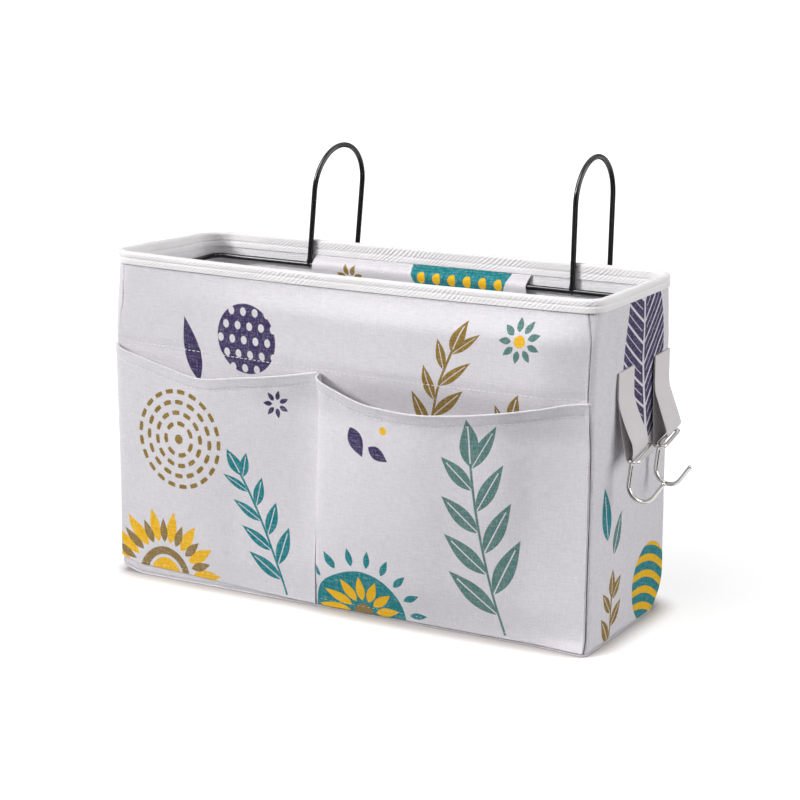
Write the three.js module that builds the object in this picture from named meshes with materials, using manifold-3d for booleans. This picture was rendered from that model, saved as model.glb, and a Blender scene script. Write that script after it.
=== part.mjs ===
import * as THREE from 'three';
import { mergeVertices } from 'three/addons/utils/BufferGeometryUtils.js';
import Module from 'manifold-3d';

// Crib organizer: a board-stiffened cloth bag with two gathered front pockets, held open by a wire frame.
// Two wire hooks on the frame hang it on a rail, and two small hooks swing on tape loops on its right side.
// Millimetres, +Z up, the front towards -Y, the origin under the middle of the bag.

// Bag, outside the cloth at its base
const bagWidth = 320;
const bagDepth = 108;
const bagHeight = 201;
const rimShallowing = 2.6;

// Corners of the bag in plan: radius at the base, at mid height and at the rim
const corners = {
  frontLeft: { base: 4, middle: 4, rim: 14 },
  frontRight: { base: 4, middle: 4, rim: 10 },
  backRight: { base: 24, middle: 4, rim: 15 },
  backLeft: { base: 12, middle: 4, rim: 20 },
};
const baseRounding = 22;
const rimRounding = 55;

// The soft bag's set: near the rim its sides lean in or out, and the rim itself rises and falls
const rightLean = 3.4;
const leftLeanFront = 1.8;
const leftLeanBack = -1.7;
const leanReach = 60;
const leanTurnsAt = 0.3;
const leanTurnReach = 0.35;
const frontCornersRise = 1.4;
const backLeftRise = -1.5;
const backRightRise = 0.8;

// Layers of a wall, from outside to inside, and the air between two pieces
const clothThickness = 0.7;
const boardThickness = 1.2;
const liningThickness = 0.5;
const gap = 0.3;
const boardEdge = 4;

// Rim binding, a folded tape
const bindingThickness = 0.5;
const bindingOutside = 7.5;
const bindingInside = 9.5;
const bindingFoldEase = 1.6;

// Front pockets, whose cloth is doubled
const pocketThickness = 0.8;
const pocketTop = 145;
const pocketBottom = 2;
const pocketSideInset = 2;
const dividerTop = -11;
const dividerBottom = -17;

// Wire frame under the binding, and the sleeve that hides its back bar
const wireDiameter = 3.2;
const frameDrop = 16.5;
const frameCorner = 10;
const sleeveThickness = 0.6;
const sleeveLeft = -79;
const sleeveRight = 70;
const sleeveBarDrop = 12;
const sleeveDrop = 51;
const sleeveWrapAngles = [75, 45, 15, -15, -35];

// Rail hooks: where each one stands on the back bar, how long its leg is, and how far it leans and turns
const leftHookAcross = -82;
const leftHookLeg = 44.5;
const rightHookAcross = 99.5;
const rightHookLeg = 48.2;
const railHooks = [
  { name: 'left_rail_hook', across: leftHookAcross, leg: leftHookLeg, lean: 5.2, turn: 3.6 },
  { name: 'right_rail_hook', across: rightHookAcross, leg: rightHookLeg, lean: 1.3, turn: 0 },
];
const railHookSpan = 53;
const railHookReturn = 26;

// Tape loops on the right side: their place along the side and the form of the hanging loop
const tapeWidth = 21;
const tapeThickness = 0.6;
const tabTop = 156.5;
const frontStrapAlong = -12.5;
const frontStrapFoot = 143.5;
const frontBarOut = 8.2;
const frontBarDrop = 34;
const frontBulge = 3.6;
const frontSag = 0.9;
const rearStrapAlong = 38;
const rearStrapFoot = 141;
const rearBarOut = 3;
const rearBarDrop = 34.5;
const rearBulge = 5.8;
const rearSag = 0.3;
const straps = [
  {
    name: 'front',
    along: frontStrapAlong,
    foot: frontStrapFoot,
    barOut: frontBarOut,
    barDrop: frontBarDrop,
    bulge: frontBulge,
    sag: frontSag,
  },
  {
    name: 'rear',
    along: rearStrapAlong,
    foot: rearStrapFoot,
    barOut: rearBarOut,
    barDrop: rearBarDrop,
    bulge: rearBulge,
    sag: rearSag,
  },
];

// Side hooks, bent from bright wire with a long eye that the tape loop goes through
const hookWire = 2.4;
const eyeTilt = 11;
const eyeBarSpacing = 6.3;
const eyeSideClearance = 0.8;
const eyeCorner = 2;
const hookShank = 13.2;
const hookShankLean = 2.2;
const hookBend = 8.5;
const hookTipAngle = 35;
const hookTip = 10;

// Derived sizes
const wireRadius = wireDiameter / 2;
const boardDepth = clothThickness + gap;
const liningDepth = boardDepth + boardThickness + gap;
const wallThickness = liningDepth + liningThickness;
const bindingInnerDepth = wallThickness + gap + bindingThickness;
const frameDepth = bindingInnerDepth + gap + wireRadius;
const frameHeight = bagHeight - frameDrop;
const wallTop = bagHeight - bindingThickness - gap;
const wallBottom = clothThickness + gap;
const boardBottom = wallBottom + boardThickness + gap;
const liningBottom = boardBottom + liningThickness + gap;

const radians = THREE.MathUtils.degToRad;
const lerp = THREE.MathUtils.lerp;
const smooth = (t) => THREE.MathUtils.smoothstep(t, 0, 1);

const manifoldLibrary = await Module();
manifoldLibrary.setup();

// Colours
const colours = {
  cloth: { color: 0xdad7dc, roughness: 0.95, metalness: 0 },
  lining: { color: 0xd8d6da, roughness: 0.95, metalness: 0 },
  tape: { color: 0xe4e2e4, roughness: 0.9, metalness: 0 },
  board: { color: 0xb9ab94, roughness: 0.9, metalness: 0 },
  coatedWire: { color: 0x101012, roughness: 0.35, metalness: 0.2 },
  brightWire: { color: 0xd2d2d4, roughness: 0.15, metalness: 1 },
};

const organizer = new THREE.Group();

function addPiece(name, geometry, finish) {
  const mesh = new THREE.Mesh(geometry, new THREE.MeshStandardMaterial(finish));
  mesh.name = name;
  organizer.add(mesh);
  return mesh;
}

// Turns corners and faces into a solid whose faces point outwards
function solidFrom(corners, faces) {
  let volume = 0;
  for (const [a, b, c] of faces) {
    volume += corners[a].dot(corners[b].clone().cross(corners[c]));
  }
  const indices = faces.flatMap(([a, b, c]) => (volume > 0 ? [a, b, c] : [a, c, b]));
  const geometry = new THREE.BufferGeometry();
  const positions = corners.flatMap((corner) => corner.toArray());
  geometry.setAttribute('position', new THREE.Float32BufferAttribute(positions, 3));
  geometry.setIndex(indices);
  return geometry;
}

function addQuad(faces, a, b, c, d) {
  faces.push([a, b, c], [a, c, d]);
}

// A thin sheet between two grids of points that have the same rows and columns
function sheetSolid(outer, inner) {
  const columns = outer.length;
  const rows = outer[0].length;
  const corners = [...outer.flat(), ...inner.flat()];
  const front = (i, j) => i * rows + j;
  const back = (i, j) => columns * rows + front(i, j);
  const faces = [];
  for (let i = 0; i < columns - 1; i++) {
    for (let j = 0; j < rows - 1; j++) {
      addQuad(faces, front(i, j), front(i + 1, j), front(i + 1, j + 1), front(i, j + 1));
      addQuad(faces, back(i, j), back(i, j + 1), back(i + 1, j + 1), back(i + 1, j));
    }
    addQuad(faces, front(i, 0), back(i, 0), back(i + 1, 0), front(i + 1, 0));
    addQuad(faces, front(i, rows - 1), front(i + 1, rows - 1), back(i + 1, rows - 1), back(i, rows - 1));
  }
  for (let j = 0; j < rows - 1; j++) {
    addQuad(faces, front(0, j), front(0, j + 1), back(0, j + 1), back(0, j));
    addQuad(faces, front(columns - 1, j), back(columns - 1, j), back(columns - 1, j + 1), front(columns - 1, j + 1));
  }
  return solidFrom(corners, faces);
}

// A closed ring made of closed sections
function ringSolid(sections) {
  const count = sections.length;
  const sides = sections[0].length;
  const faces = [];
  for (let i = 0; i < count; i++) {
    for (let k = 0; k < sides; k++) {
      const next = (i + 1) % count;
      const turn = (k + 1) % sides;
      addQuad(faces, i * sides + k, next * sides + k, next * sides + turn, i * sides + turn);
    }
  }
  return solidFrom(sections.flat(), faces);
}

// Walls. Each one runs along its own direction with the bag on its left, from one rounded corner to the next
const halfWidth = () => bagWidth / 2;
const halfDepth = (z) => (bagDepth - (rimShallowing * z) / bagHeight) / 2;
const { frontLeft, frontRight, backRight, backLeft } = corners;
const walls = {
  front: { along: [1, 0], out: [0, -1], length: halfWidth, reach: halfDepth, start: frontLeft, end: frontRight },
  right: { along: [0, 1], out: [1, 0], length: halfDepth, reach: halfWidth, start: frontRight, end: backRight },
  back: { along: [-1, 0], out: [0, 1], length: halfWidth, reach: halfDepth, start: backRight, end: backLeft },
  left: { along: [0, -1], out: [-1, 0], length: halfDepth, reach: halfWidth, start: backLeft, end: frontLeft },
};
const mitreAngle = Math.PI / 4;
const seamShift = gap / Math.SQRT2;
const arcSteps = 3;

function cornerRadius(corner, z, depth) {
  const low = (1 - Math.min(1, z / baseRounding)) ** 2;
  const high = smooth((z - (bagHeight - rimRounding)) / rimRounding);
  const outerRadius = corner.middle + (corner.base - corner.middle) * low + (corner.rim - corner.middle) * high;
  return Math.max(outerRadius - depth, gap);
}

function flatEnds(wall, z, depth) {
  const start = -(wall.length(z) - depth - cornerRadius(wall.start, z, depth));
  const end = wall.length(z) - depth - cornerRadius(wall.end, z, depth);
  return [start, end];
}

// Moves a point of the ideal straight bag to where the soft bag holds it
function settled(point) {
  const side = point.x / (bagWidth / 2);
  const back = point.y / bagDepth + 0.5;
  const nearRim = smooth((point.z - (bagHeight - leanReach)) / leanReach);
  const leftLean = lerp(leftLeanFront, leftLeanBack, smooth((back - leanTurnsAt) / leanTurnReach));
  const lean = (side > 0 ? rightLean : leftLean) * side * nearRim;
  const backRise = lerp(backLeftRise, backRightRise, (side + 1) / 2);
  const rise = lerp(frontCornersRise * side ** 2, backRise, back) * (point.z / bagHeight) ** 2;
  return new THREE.Vector3(point.x + lean, point.y, point.z + rise);
}

function placeOnWall(wall, along, out, z) {
  const x = wall.along[0] * along + wall.out[0] * out;
  const y = wall.along[1] * along + wall.out[1] * out;
  return settled(new THREE.Vector3(x, y, z));
}

// Places along a wall, from its start corner's mitre to its end corner's mitre
function wallStations(flatSteps) {
  const stations = [];
  for (let i = 0; i < arcSteps; i++) {
    stations.push({ part: 'start', angle: lerp(mitreAngle, Math.PI / 2, i / arcSteps) });
  }
  for (let i = 0; i <= flatSteps; i++) {
    stations.push({ part: 'flat', share: i / flatSteps });
  }
  for (let i = arcSteps - 1; i >= 0; i--) {
    stations.push({ part: 'end', angle: lerp(mitreAngle, Math.PI / 2, i / arcSteps) });
  }
  return stations;
}

function wallPoint(wall, station, z, depth, shift = 0) {
  const [start, end] = flatEnds(wall, z, depth);
  if (station.part === 'flat') {
    return placeOnWall(wall, lerp(start, end, station.share), wall.reach(z) - depth, z);
  }
  const atStart = station.part === 'start';
  const side = atStart ? -1 : 1;
  const radius = cornerRadius(atStart ? wall.start : wall.end, z, depth);
  const inward = (shift * (Math.PI / 2 - station.angle)) / (Math.PI / 2 - mitreAngle);
  const along = (atStart ? start : end) + side * (radius * Math.cos(station.angle) - inward);
  const out = wall.reach(z) - depth - radius + radius * Math.sin(station.angle);
  return placeOnWall(wall, along, out, z);
}

// Heights at which a wall's layers are sampled, closer together where the corners change
function wallLevels(bottom, top) {
  const rounded = [0.2, 0.45, 0.75, 1].map((share) => share * baseRounding);
  const waist = [0.35, 0.7, 1].map((share) => lerp(baseRounding, bagHeight - leanReach, share));
  const upper = [0.25, 0.5, 0.75].map((share) => bagHeight - leanReach * (1 - share));
  const inside = [...rounded, ...waist, ...upper].filter((z) => z > bottom + gap && z < top - gap);
  return [bottom, ...inside, top];
}

const flatSteps = { front: 6, back: 4, right: 4, left: 6 };

function wallLayer(side, depth, thickness, bottom) {
  const stations = wallStations(flatSteps[side]);
  const levels = wallLevels(bottom, wallTop);
  const skin = (d) => stations.map((station) => levels.map((z) => wallPoint(walls[side], station, z, d, seamShift)));
  return sheetSolid(skin(depth), skin(depth + thickness));
}

// A board lies flat between the two corners of its wall and stops short of where the cloth rounds them
function wallBoard(side) {
  const wall = walls[side];
  const levels = wallLevels(boardBottom, wallTop - boardEdge);
  const starts = levels.map((z) => flatEnds(wall, z, 0)[0]);
  const ends = levels.map((z) => flatEnds(wall, z, 0)[1]);
  const start = Math.max(...starts) + boardEdge;
  const end = Math.min(...ends) - boardEdge;
  const face = (depth) => {
    const columns = [];
    for (let i = 0; i <= flatSteps[side]; i++) {
      const along = lerp(start, end, i / flatSteps[side]);
      columns.push(levels.map((z) => placeOnWall(wall, along, wall.reach(z) - depth, z)));
    }
    return columns;
  };
  return sheetSolid(face(boardDepth), face(boardDepth + boardThickness));
}

// A flat sheet that fills the bag's outline at its base
function baseSheet(depth, thickness, bottom) {
  const outline = [];
  for (const side of Object.keys(walls)) {
    for (const station of wallStations(flatSteps[side]).slice(0, -1)) {
      const point = wallPoint(walls[side], station, 0, depth);
      outline.push(new THREE.Vector2(point.x, point.y));
    }
  }
  const geometry = new THREE.ExtrudeGeometry(new THREE.Shape(outline), { depth: thickness, bevelEnabled: false });
  return geometry.translate(0, 0, bottom);
}

for (const side of Object.keys(walls)) {
  addPiece(`outer_${side}_panel`, wallLayer(side, 0, clothThickness, wallBottom), colours.cloth);
  addPiece(`${side}_board`, wallBoard(side), colours.board);
  addPiece(`${side}_lining`, wallLayer(side, liningDepth, liningThickness, liningBottom), colours.lining);
}
addPiece('outer_base_panel', baseSheet(0, clothThickness, 0), colours.cloth);
addPiece('base_board', baseSheet(boardDepth, boardThickness, wallBottom), colours.board);
addPiece('base_lining', baseSheet(liningDepth, liningThickness, boardBottom), colours.lining);

// Rim binding: a tape folded over the top of all four walls
function rimBinding() {
  const foldTop = bagHeight;
  const foldUnder = bagHeight - bindingThickness;
  const outsideEdge = bagHeight - bindingOutside;
  const insideEdge = bagHeight - bindingInside;
  const outerSkin = -gap - bindingThickness;
  const innerSkin = bindingInnerDepth;
  const shoulder = bindingThickness + gap;
  const profile = [
    [outerSkin, outsideEdge],
    [outerSkin, foldTop - shoulder * bindingFoldEase],
    [outerSkin + shoulder / 2, foldTop - shoulder / 2],
    [outerSkin + shoulder * bindingFoldEase, foldTop],
    [innerSkin - shoulder * bindingFoldEase, foldTop],
    [innerSkin - shoulder / 2, foldTop - shoulder / 2],
    [innerSkin, foldTop - shoulder * bindingFoldEase],
    [innerSkin, insideEdge],
    [innerSkin - bindingThickness, insideEdge],
    [innerSkin - bindingThickness, foldUnder - shoulder],
    [innerSkin - bindingThickness - gap, foldUnder],
    [0, foldUnder],
    [-gap, foldUnder - shoulder],
    [-gap, outsideEdge],
  ];
  const sections = [];
  for (const side of Object.keys(walls)) {
    for (const station of wallStations(flatSteps[side]).slice(0, -1)) {
      sections.push(profile.map(([depth, z]) => wallPoint(walls[side], station, z, depth)));
    }
  }
  return ringSolid(sections);
}
addPiece('rim_binding', rimBinding(), colours.tape);

// Front pockets. A pocket's top edge is given from left to right as the share of its width,
// how far it stands out from the front wall, and how far it sags below the pocket's top
const leftPocketEdge = [
  [0, 0, 0],
  [0.02, 2.6, 0.5],
  [0.14, 4.6, 5],
  [0.27, 6, 9],
  [0.45, 8, 13],
  [0.65, 6, 9],
  [0.83, 3, 5],
  [1, 0, 0],
];
const rightPocketEdge = [
  [0, 0, 0],
  [0.012, 12, 1.5],
  [0.1, 14.5, 6],
  [0.25, 17, 12],
  [0.42, 19, 13],
  [0.58, 15.5, 11],
  [0.72, 12, 7.5],
  [0.84, 4.5, 4.5],
  [0.95, 0.8, 1],
  [1, 0, 0.5],
];
const pocketColumnsPerSpan = 3;
const pocketRows = 7;

const dividerAt = (z) => lerp(dividerBottom, dividerTop, (z - pocketBottom) / (pocketTop - pocketBottom));
const pocketEnd = () => bagWidth / 2 - pocketSideInset;

function easedEdge(edge) {
  const points = [edge[0]];
  for (let k = 1; k < edge.length; k++) {
    for (let i = 1; i <= pocketColumnsPerSpan; i++) {
      const t = i / pocketColumnsPerSpan;
      const eased = k === 1 ? t : smooth(t) * 0.5 + t * 0.5;
      const [share, out, sag] = edge[k];
      const [lastShare, lastOut, lastSag] = edge[k - 1];
      points.push([lerp(lastShare, share, t), lerp(lastOut, out, eased), lerp(lastSag, sag, eased)]);
    }
  }
  return points;
}

function pocket(edge, leftAt, rightAt) {
  const columns = easedEdge(edge);
  const inner = columns.map(() => []);
  const outer = columns.map(() => []);
  for (let j = 0; j <= pocketRows; j++) {
    const rise = j / pocketRows;
    const fullness = Math.sin((rise * Math.PI) / 2);
    const plan = columns.map(([share, out, sag]) => {
      const z = lerp(pocketBottom, pocketTop - sag, rise);
      return { across: lerp(leftAt(z), rightAt(z), share), out: gap + out * fullness, z };
    });
    plan.forEach((point, i) => {
      const before = plan[Math.max(i - 1, 0)];
      const after = plan[Math.min(i + 1, plan.length - 1)];
      const run = new THREE.Vector2(after.across - before.across, after.out - before.out).normalize();
      const place = (across, out) => settled(new THREE.Vector3(across, -halfDepth(point.z) - out, point.z));
      inner[i].push(place(point.across, point.out));
      outer[i].push(place(point.across - run.y * pocketThickness, point.out + run.x * pocketThickness));
    });
  }
  return sheetSolid(outer, inner);
}
const leftPocketEnd = (z) => dividerAt(z) - gap;
const rightPocketStart = (z) => dividerAt(z) + gap + pocketThickness;
addPiece('left_pocket', pocket(leftPocketEdge, (z) => -pocketEnd(z), leftPocketEnd), colours.cloth);
addPiece('right_pocket', pocket(rightPocketEdge, rightPocketStart, pocketEnd), colours.cloth);

// Hanging sleeve: a strip of cloth down the inside of the back wall, which passes in front of the back bar
function hangingSleeve() {
  const holdRadius = wireRadius + gap;
  const inset = (z) => halfDepth(z) - wallThickness;
  const barInset = inset(frameHeight) - (halfDepth(frameHeight) - frameDepth);
  const line = [[gap, bagHeight - bindingInside - gap]];
  for (const angle of sleeveWrapAngles) {
    const a = radians(angle);
    line.push([barInset + holdRadius * Math.cos(a), frameHeight + holdRadius * Math.sin(a)]);
  }
  line.push([gap, frameHeight - sleeveBarDrop]);
  line.push([gap, bagHeight - sleeveDrop]);
  const face = (offset) => [sleeveLeft, sleeveRight].map((x) => line.map((point, k) => {
    const above = line[Math.max(k - 1, 0)];
    const below = line[Math.min(k + 1, line.length - 1)];
    const run = new THREE.Vector2(below[0] - above[0], below[1] - above[1]).normalize();
    const z = point[1] + run.x * offset;
    const place = new THREE.Vector3(x, inset(z) - point[0] + run.y * offset, z);
    return k === 0 ? settled(place) : place;
  }));
  return sheetSolid(face(sleeveThickness), face(0));
}
addPiece('hanging_sleeve', hangingSleeve(), colours.cloth);

// A flat wire loop with rounded corners, in the XY plane round the origin
function wireLoop(halfLong, halfWide, radius, wire, straightSteps, cornerSteps, sides) {
  const centres = [
    [halfLong - radius, halfWide - radius, 0],
    [-halfLong + radius, halfWide - radius, 90],
    [-halfLong + radius, -halfWide + radius, 180],
    [halfLong - radius, -halfWide + radius, 270],
  ];
  const path = [];
  centres.forEach(([x, y, from], k) => {
    for (let i = 0; i <= cornerSteps; i++) {
      const angle = radians(from + (90 * i) / cornerSteps);
      path.push({ x: x + radius * Math.cos(angle), y: y + radius * Math.sin(angle), angle });
    }
    const last = path[path.length - 1];
    const [nextX, nextY, nextFrom] = centres[(k + 1) % centres.length];
    const nextAngle = radians(nextFrom);
    for (let i = 1; i < straightSteps; i++) {
      const x2 = lerp(last.x, nextX + radius * Math.cos(nextAngle), i / straightSteps);
      const y2 = lerp(last.y, nextY + radius * Math.sin(nextAngle), i / straightSteps);
      path.push({ x: x2, y: y2, angle: last.angle });
    }
  });
  const sections = path.map((point) => {
    const section = [];
    for (let k = 0; k < sides; k++) {
      const turn = (2 * Math.PI * k) / sides;
      const reach = wire * Math.cos(turn);
      const x = point.x + reach * Math.cos(point.angle);
      const y = point.y + reach * Math.sin(point.angle);
      section.push(new THREE.Vector3(x, y, wire * Math.sin(turn)));
    }
    return section;
  });
  return ringSolid(sections);
}

const frameHalfDepth = halfDepth(frameHeight) - frameDepth;
const frameLeft = -bagWidth / 2 - Math.min(leftLeanBack, 0) + frameDepth;
const frameRight = bagWidth / 2 - frameDepth;
const frameLoop = wireLoop((frameRight - frameLeft) / 2, frameHalfDepth, frameCorner, wireRadius, 4, 6, 8);
addPiece('support_frame', frameLoop, colours.coatedWire).position.set((frameLeft + frameRight) / 2, 0, frameHeight);

// A path made of straight runs and arcs in the YZ plane, followed at an even pace
class BentPath extends THREE.Curve {
  constructor(runs) {
    super();
    this.runs = runs;
    this.total = runs.reduce((sum, run) => sum + run.length, 0);
  }

  getPoint(t, target = new THREE.Vector3()) {
    let rest = t * this.total;
    let run = this.runs[0];
    for (const next of this.runs) {
      run = next;
      if (rest <= next.length) break;
      rest -= next.length;
    }
    const [y, z] = run.at(Math.min(rest, run.length) / run.length);
    return target.set(0, y, z);
  }
}

function straightRun(from, to) {
  const length = Math.hypot(to[0] - from[0], to[1] - from[1]);
  return { length, at: (t) => [lerp(from[0], to[0], t), lerp(from[1], to[1], t)] };
}

function arcRun(centre, radius, fromAngle, toAngle) {
  const length = radius * Math.abs(toAngle - fromAngle);
  const at = (t) => {
    const angle = lerp(fromAngle, toAngle, t);
    return [centre[0] + radius * Math.cos(angle), centre[1] + radius * Math.sin(angle)];
  };
  return { length, at };
}

function bentWire(runs, radius, steps, sides) {
  const section = new THREE.Shape();
  section.absarc(0, 0, radius, 0, 2 * Math.PI, false);
  const options = { steps, curveSegments: sides / 2, extrudePath: new BentPath(runs) };
  return new THREE.ExtrudeGeometry(section, options);
}

// Rail hooks: each stands on the back bar inside the bag and comes down behind the back wall
const railHookBend = railHookSpan / 2;
for (const hook of railHooks) {
  const runs = [
    straightRun([0, 0], [0, hook.leg]),
    arcRun([railHookBend, hook.leg], railHookBend, Math.PI, 0),
    straightRun([railHookSpan, hook.leg], [railHookSpan, -railHookReturn]),
  ];
  const mesh = addPiece(hook.name, bentWire(runs, wireRadius, 36, 8), colours.coatedWire);
  mesh.geometry.rotateZ(-radians(hook.turn));
  mesh.rotation.y = radians(hook.lean);
  const foot = wireRadius * Math.sin(Math.abs(radians(hook.lean)));
  mesh.position.set(hook.across, frameHalfDepth, frameHeight + wireRadius + gap + foot);
}

// Tape loops. A loop's section hangs from the foot of its sewn tab: down on the outside, round the eye's
// inner bar and up again against the wall. Across is measured from the wall, down from the foot of the tab
const eyeWireRadius = hookWire / 2;
const wrapRadius = eyeWireRadius + gap + tapeThickness / 2;
const bulgeSkew = 1.9;

function tapeWall(strap) {
  const reaches = [];
  for (const z of [strap.foot, (strap.foot + tabTop) / 2, tabTop]) {
    for (const share of [-0.5, -0.25, 0, 0.25, 0.5]) {
      const place = new THREE.Vector3(bagWidth / 2, strap.along + share * tapeWidth, z);
      reaches.push(settled(place).x);
    }
  }
  return Math.max(...reaches) + gap;
}

function loopLine(strap) {
  const line = [];
  const steps = 10;
  for (let i = 0; i < steps; i++) {
    const u = i / steps;
    const chord = lerp(1.5 * tapeThickness, strap.barOut + wrapRadius, u);
    line.push([chord + strap.bulge * Math.sin(Math.PI * u ** bulgeSkew), -strap.barDrop * u]);
  }
  for (let i = 0; i <= 8; i++) {
    const angle = (-Math.PI * i) / 8;
    line.push([strap.barOut + wrapRadius * Math.cos(angle), -strap.barDrop + wrapRadius * Math.sin(angle)]);
  }
  for (let i = steps - 1; i >= 0; i--) {
    const u = i / steps;
    const chord = lerp(0.5 * tapeThickness, strap.barOut - wrapRadius, u);
    line.push([chord - strap.sag * Math.sin(Math.PI * u) * u, -strap.barDrop * u]);
  }
  return line;
}

function offsetLine(line, distance) {
  return line.map((point, k) => {
    const before = line[Math.max(k - 1, 0)];
    const after = line[Math.min(k + 1, line.length - 1)];
    const run = new THREE.Vector2(after[0] - before[0], after[1] - before[1]).normalize();
    const level = k === 0 || k === line.length - 1;
    const sideways = level ? Math.sign(run.y) * -1 : -run.y;
    return new THREE.Vector2(point[0] + sideways * distance, point[1] + (level ? 0 : run.x) * distance);
  });
}

function tapeLoop(strap) {
  const line = loopLine(strap);
  const outline = [...offsetLine(line, tapeThickness / 2), ...offsetLine(line, -tapeThickness / 2).reverse()];
  const geometry = new THREE.ExtrudeGeometry(new THREE.Shape(outline), { depth: tapeWidth, bevelEnabled: false });
  geometry.rotateX(Math.PI / 2);
  geometry.translate(0, tapeWidth / 2, 0);
  const position = geometry.attributes.position;
  const slope = Math.tan(radians(eyeTilt));
  for (let i = 0; i < position.count; i++) {
    const share = Math.min(1, -position.getZ(i) / strap.barDrop);
    position.setZ(i, position.getZ(i) + position.getY(i) * slope * share);
  }
  return geometry;
}

// Side hook: a long eye in a nearly level plane and a shank that bends up into an open hook
const eyeHalfLong = tapeWidth / 2 + eyeSideClearance + eyeWireRadius;
const eyeHalfWide = eyeBarSpacing / 2;

function manifoldOf(geometry) {
  const bare = geometry.index ? geometry.clone() : geometry;
  bare.deleteAttribute('normal');
  bare.deleteAttribute('uv');
  const merged = mergeVertices(bare, 1e-4);
  const mesh = new manifoldLibrary.Mesh({
    numProp: 3,
    vertProperties: new Float32Array(merged.attributes.position.array),
    triVerts: new Uint32Array(merged.index.array),
  });
  mesh.merge();
  return new manifoldLibrary.Manifold(mesh);
}

function joined(first, second) {
  const mesh = manifoldOf(first).add(manifoldOf(second)).getMesh();
  const geometry = new THREE.BufferGeometry();
  geometry.setAttribute('position', new THREE.Float32BufferAttribute(mesh.vertProperties, 3));
  geometry.setIndex([...mesh.triVerts]);
  return geometry;
}

function sideHook() {
  const eye = wireLoop(eyeHalfLong, eyeHalfWide, eyeCorner, eyeWireRadius, 2, 3, 8);
  eye.rotateZ(Math.PI / 2);
  eye.rotateX(radians(eyeTilt));
  eye.translate(eyeHalfWide, 0, 0);
  const endAlong = -eyeHalfLong * Math.cos(radians(eyeTilt));
  const endHeight = -eyeHalfLong * Math.sin(radians(eyeTilt));
  const bendCentre = [hookBend - hookShankLean, -hookShank];
  const bendStart = [-hookShankLean, -hookShank];
  const bendEndAngle = 2 * Math.PI - radians(hookTipAngle);
  const bendEnd = [
    bendCentre[0] + hookBend * Math.cos(bendEndAngle),
    bendCentre[1] + hookBend * Math.sin(bendEndAngle),
  ];
  const tipEnd = [
    bendEnd[0] + hookTip * Math.sin(radians(hookTipAngle)),
    bendEnd[1] + hookTip * Math.cos(radians(hookTipAngle)),
  ];
  const runs = [
    straightRun([0, 0], bendStart),
    arcRun(bendCentre, hookBend, Math.PI, bendEndAngle),
    straightRun(bendEnd, tipEnd),
  ];
  const shank = bentWire(runs, eyeWireRadius, 26, 8);
  shank.rotateZ(-Math.PI / 2);
  shank.translate(eyeHalfWide, endAlong, endHeight);
  return joined(eye, shank);
}

for (const strap of straps) {
  const wall = tapeWall(strap);
  const tab = new THREE.BoxGeometry(2 * tapeThickness, tapeWidth, tabTop - strap.foot);
  tab.translate(tapeThickness, 0, (tabTop - strap.foot) / 2);
  addPiece(`${strap.name}_strap_tab`, tab, colours.tape).position.set(wall, strap.along, strap.foot);
  const loop = addPiece(`${strap.name}_strap_loop`, tapeLoop(strap), colours.tape);
  loop.position.set(wall, strap.along, strap.foot - gap);
  const hook = addPiece(`${strap.name}_side_hook`, sideHook(), colours.brightWire);
  hook.position.set(wall + strap.barOut, strap.along, strap.foot - gap - strap.barDrop);
}

export default organizer;
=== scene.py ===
"""A crib organizer: a board-stiffened cloth bag with two front pockets, hung by wire hooks.

Lengths are in millimetres until a mesh is made, and the frame's own objects are in metres.
"""

import math

import bpy
import numpy as np
from mathutils import Matrix, Vector


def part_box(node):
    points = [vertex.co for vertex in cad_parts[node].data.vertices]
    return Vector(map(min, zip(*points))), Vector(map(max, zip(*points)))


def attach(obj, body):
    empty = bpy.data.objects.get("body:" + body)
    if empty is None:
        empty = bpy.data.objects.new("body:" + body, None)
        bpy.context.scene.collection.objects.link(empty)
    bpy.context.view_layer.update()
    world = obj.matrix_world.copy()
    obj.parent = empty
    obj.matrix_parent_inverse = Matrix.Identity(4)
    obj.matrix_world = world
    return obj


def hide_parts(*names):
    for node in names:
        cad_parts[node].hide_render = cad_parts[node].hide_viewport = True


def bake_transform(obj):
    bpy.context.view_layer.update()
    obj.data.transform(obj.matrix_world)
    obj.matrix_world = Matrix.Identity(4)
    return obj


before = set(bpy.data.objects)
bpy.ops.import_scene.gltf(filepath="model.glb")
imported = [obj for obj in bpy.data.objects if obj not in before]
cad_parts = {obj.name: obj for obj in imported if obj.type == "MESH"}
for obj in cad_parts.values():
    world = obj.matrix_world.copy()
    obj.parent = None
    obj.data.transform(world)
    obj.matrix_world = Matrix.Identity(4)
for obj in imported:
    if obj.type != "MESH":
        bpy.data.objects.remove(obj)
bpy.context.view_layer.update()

MM = 0.001
rng = np.random.default_rng(31)

# Bag, as in the solids
BAG_WIDTH = 320.0
BAG_DEPTH = 108.0
BAG_HEIGHT = 201.0
RIM_SHALLOWING = 2.6
BASE_ROUNDING = 22.0
RIM_ROUNDING = 55.0
FRONT_RIGHT_ROUNDING = 25.0

# Corner radii at the base, at mid height and at the rim
CORNERS = {
    "front_left": (4.0, 4.0, 14.0),
    "front_right": (4.0, 4.0, 10.0),
    "back_right": (24.0, 4.0, 15.0),
    "back_left": (12.0, 4.0, 20.0),
}

# How the soft bag leans and rises near its rim
RIGHT_LEAN = 3.4
RIGHT_LEAN_FRONT = 2.4
LEFT_LEAN_FRONT = 1.8
LEFT_LEAN_BACK = -1.7
LEAN_REACH = 60.0
FRONT_CORNERS_RISE = 1.4
BACK_LEFT_RISE = -1.5
BACK_RIGHT_RISE = 0.8

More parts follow.
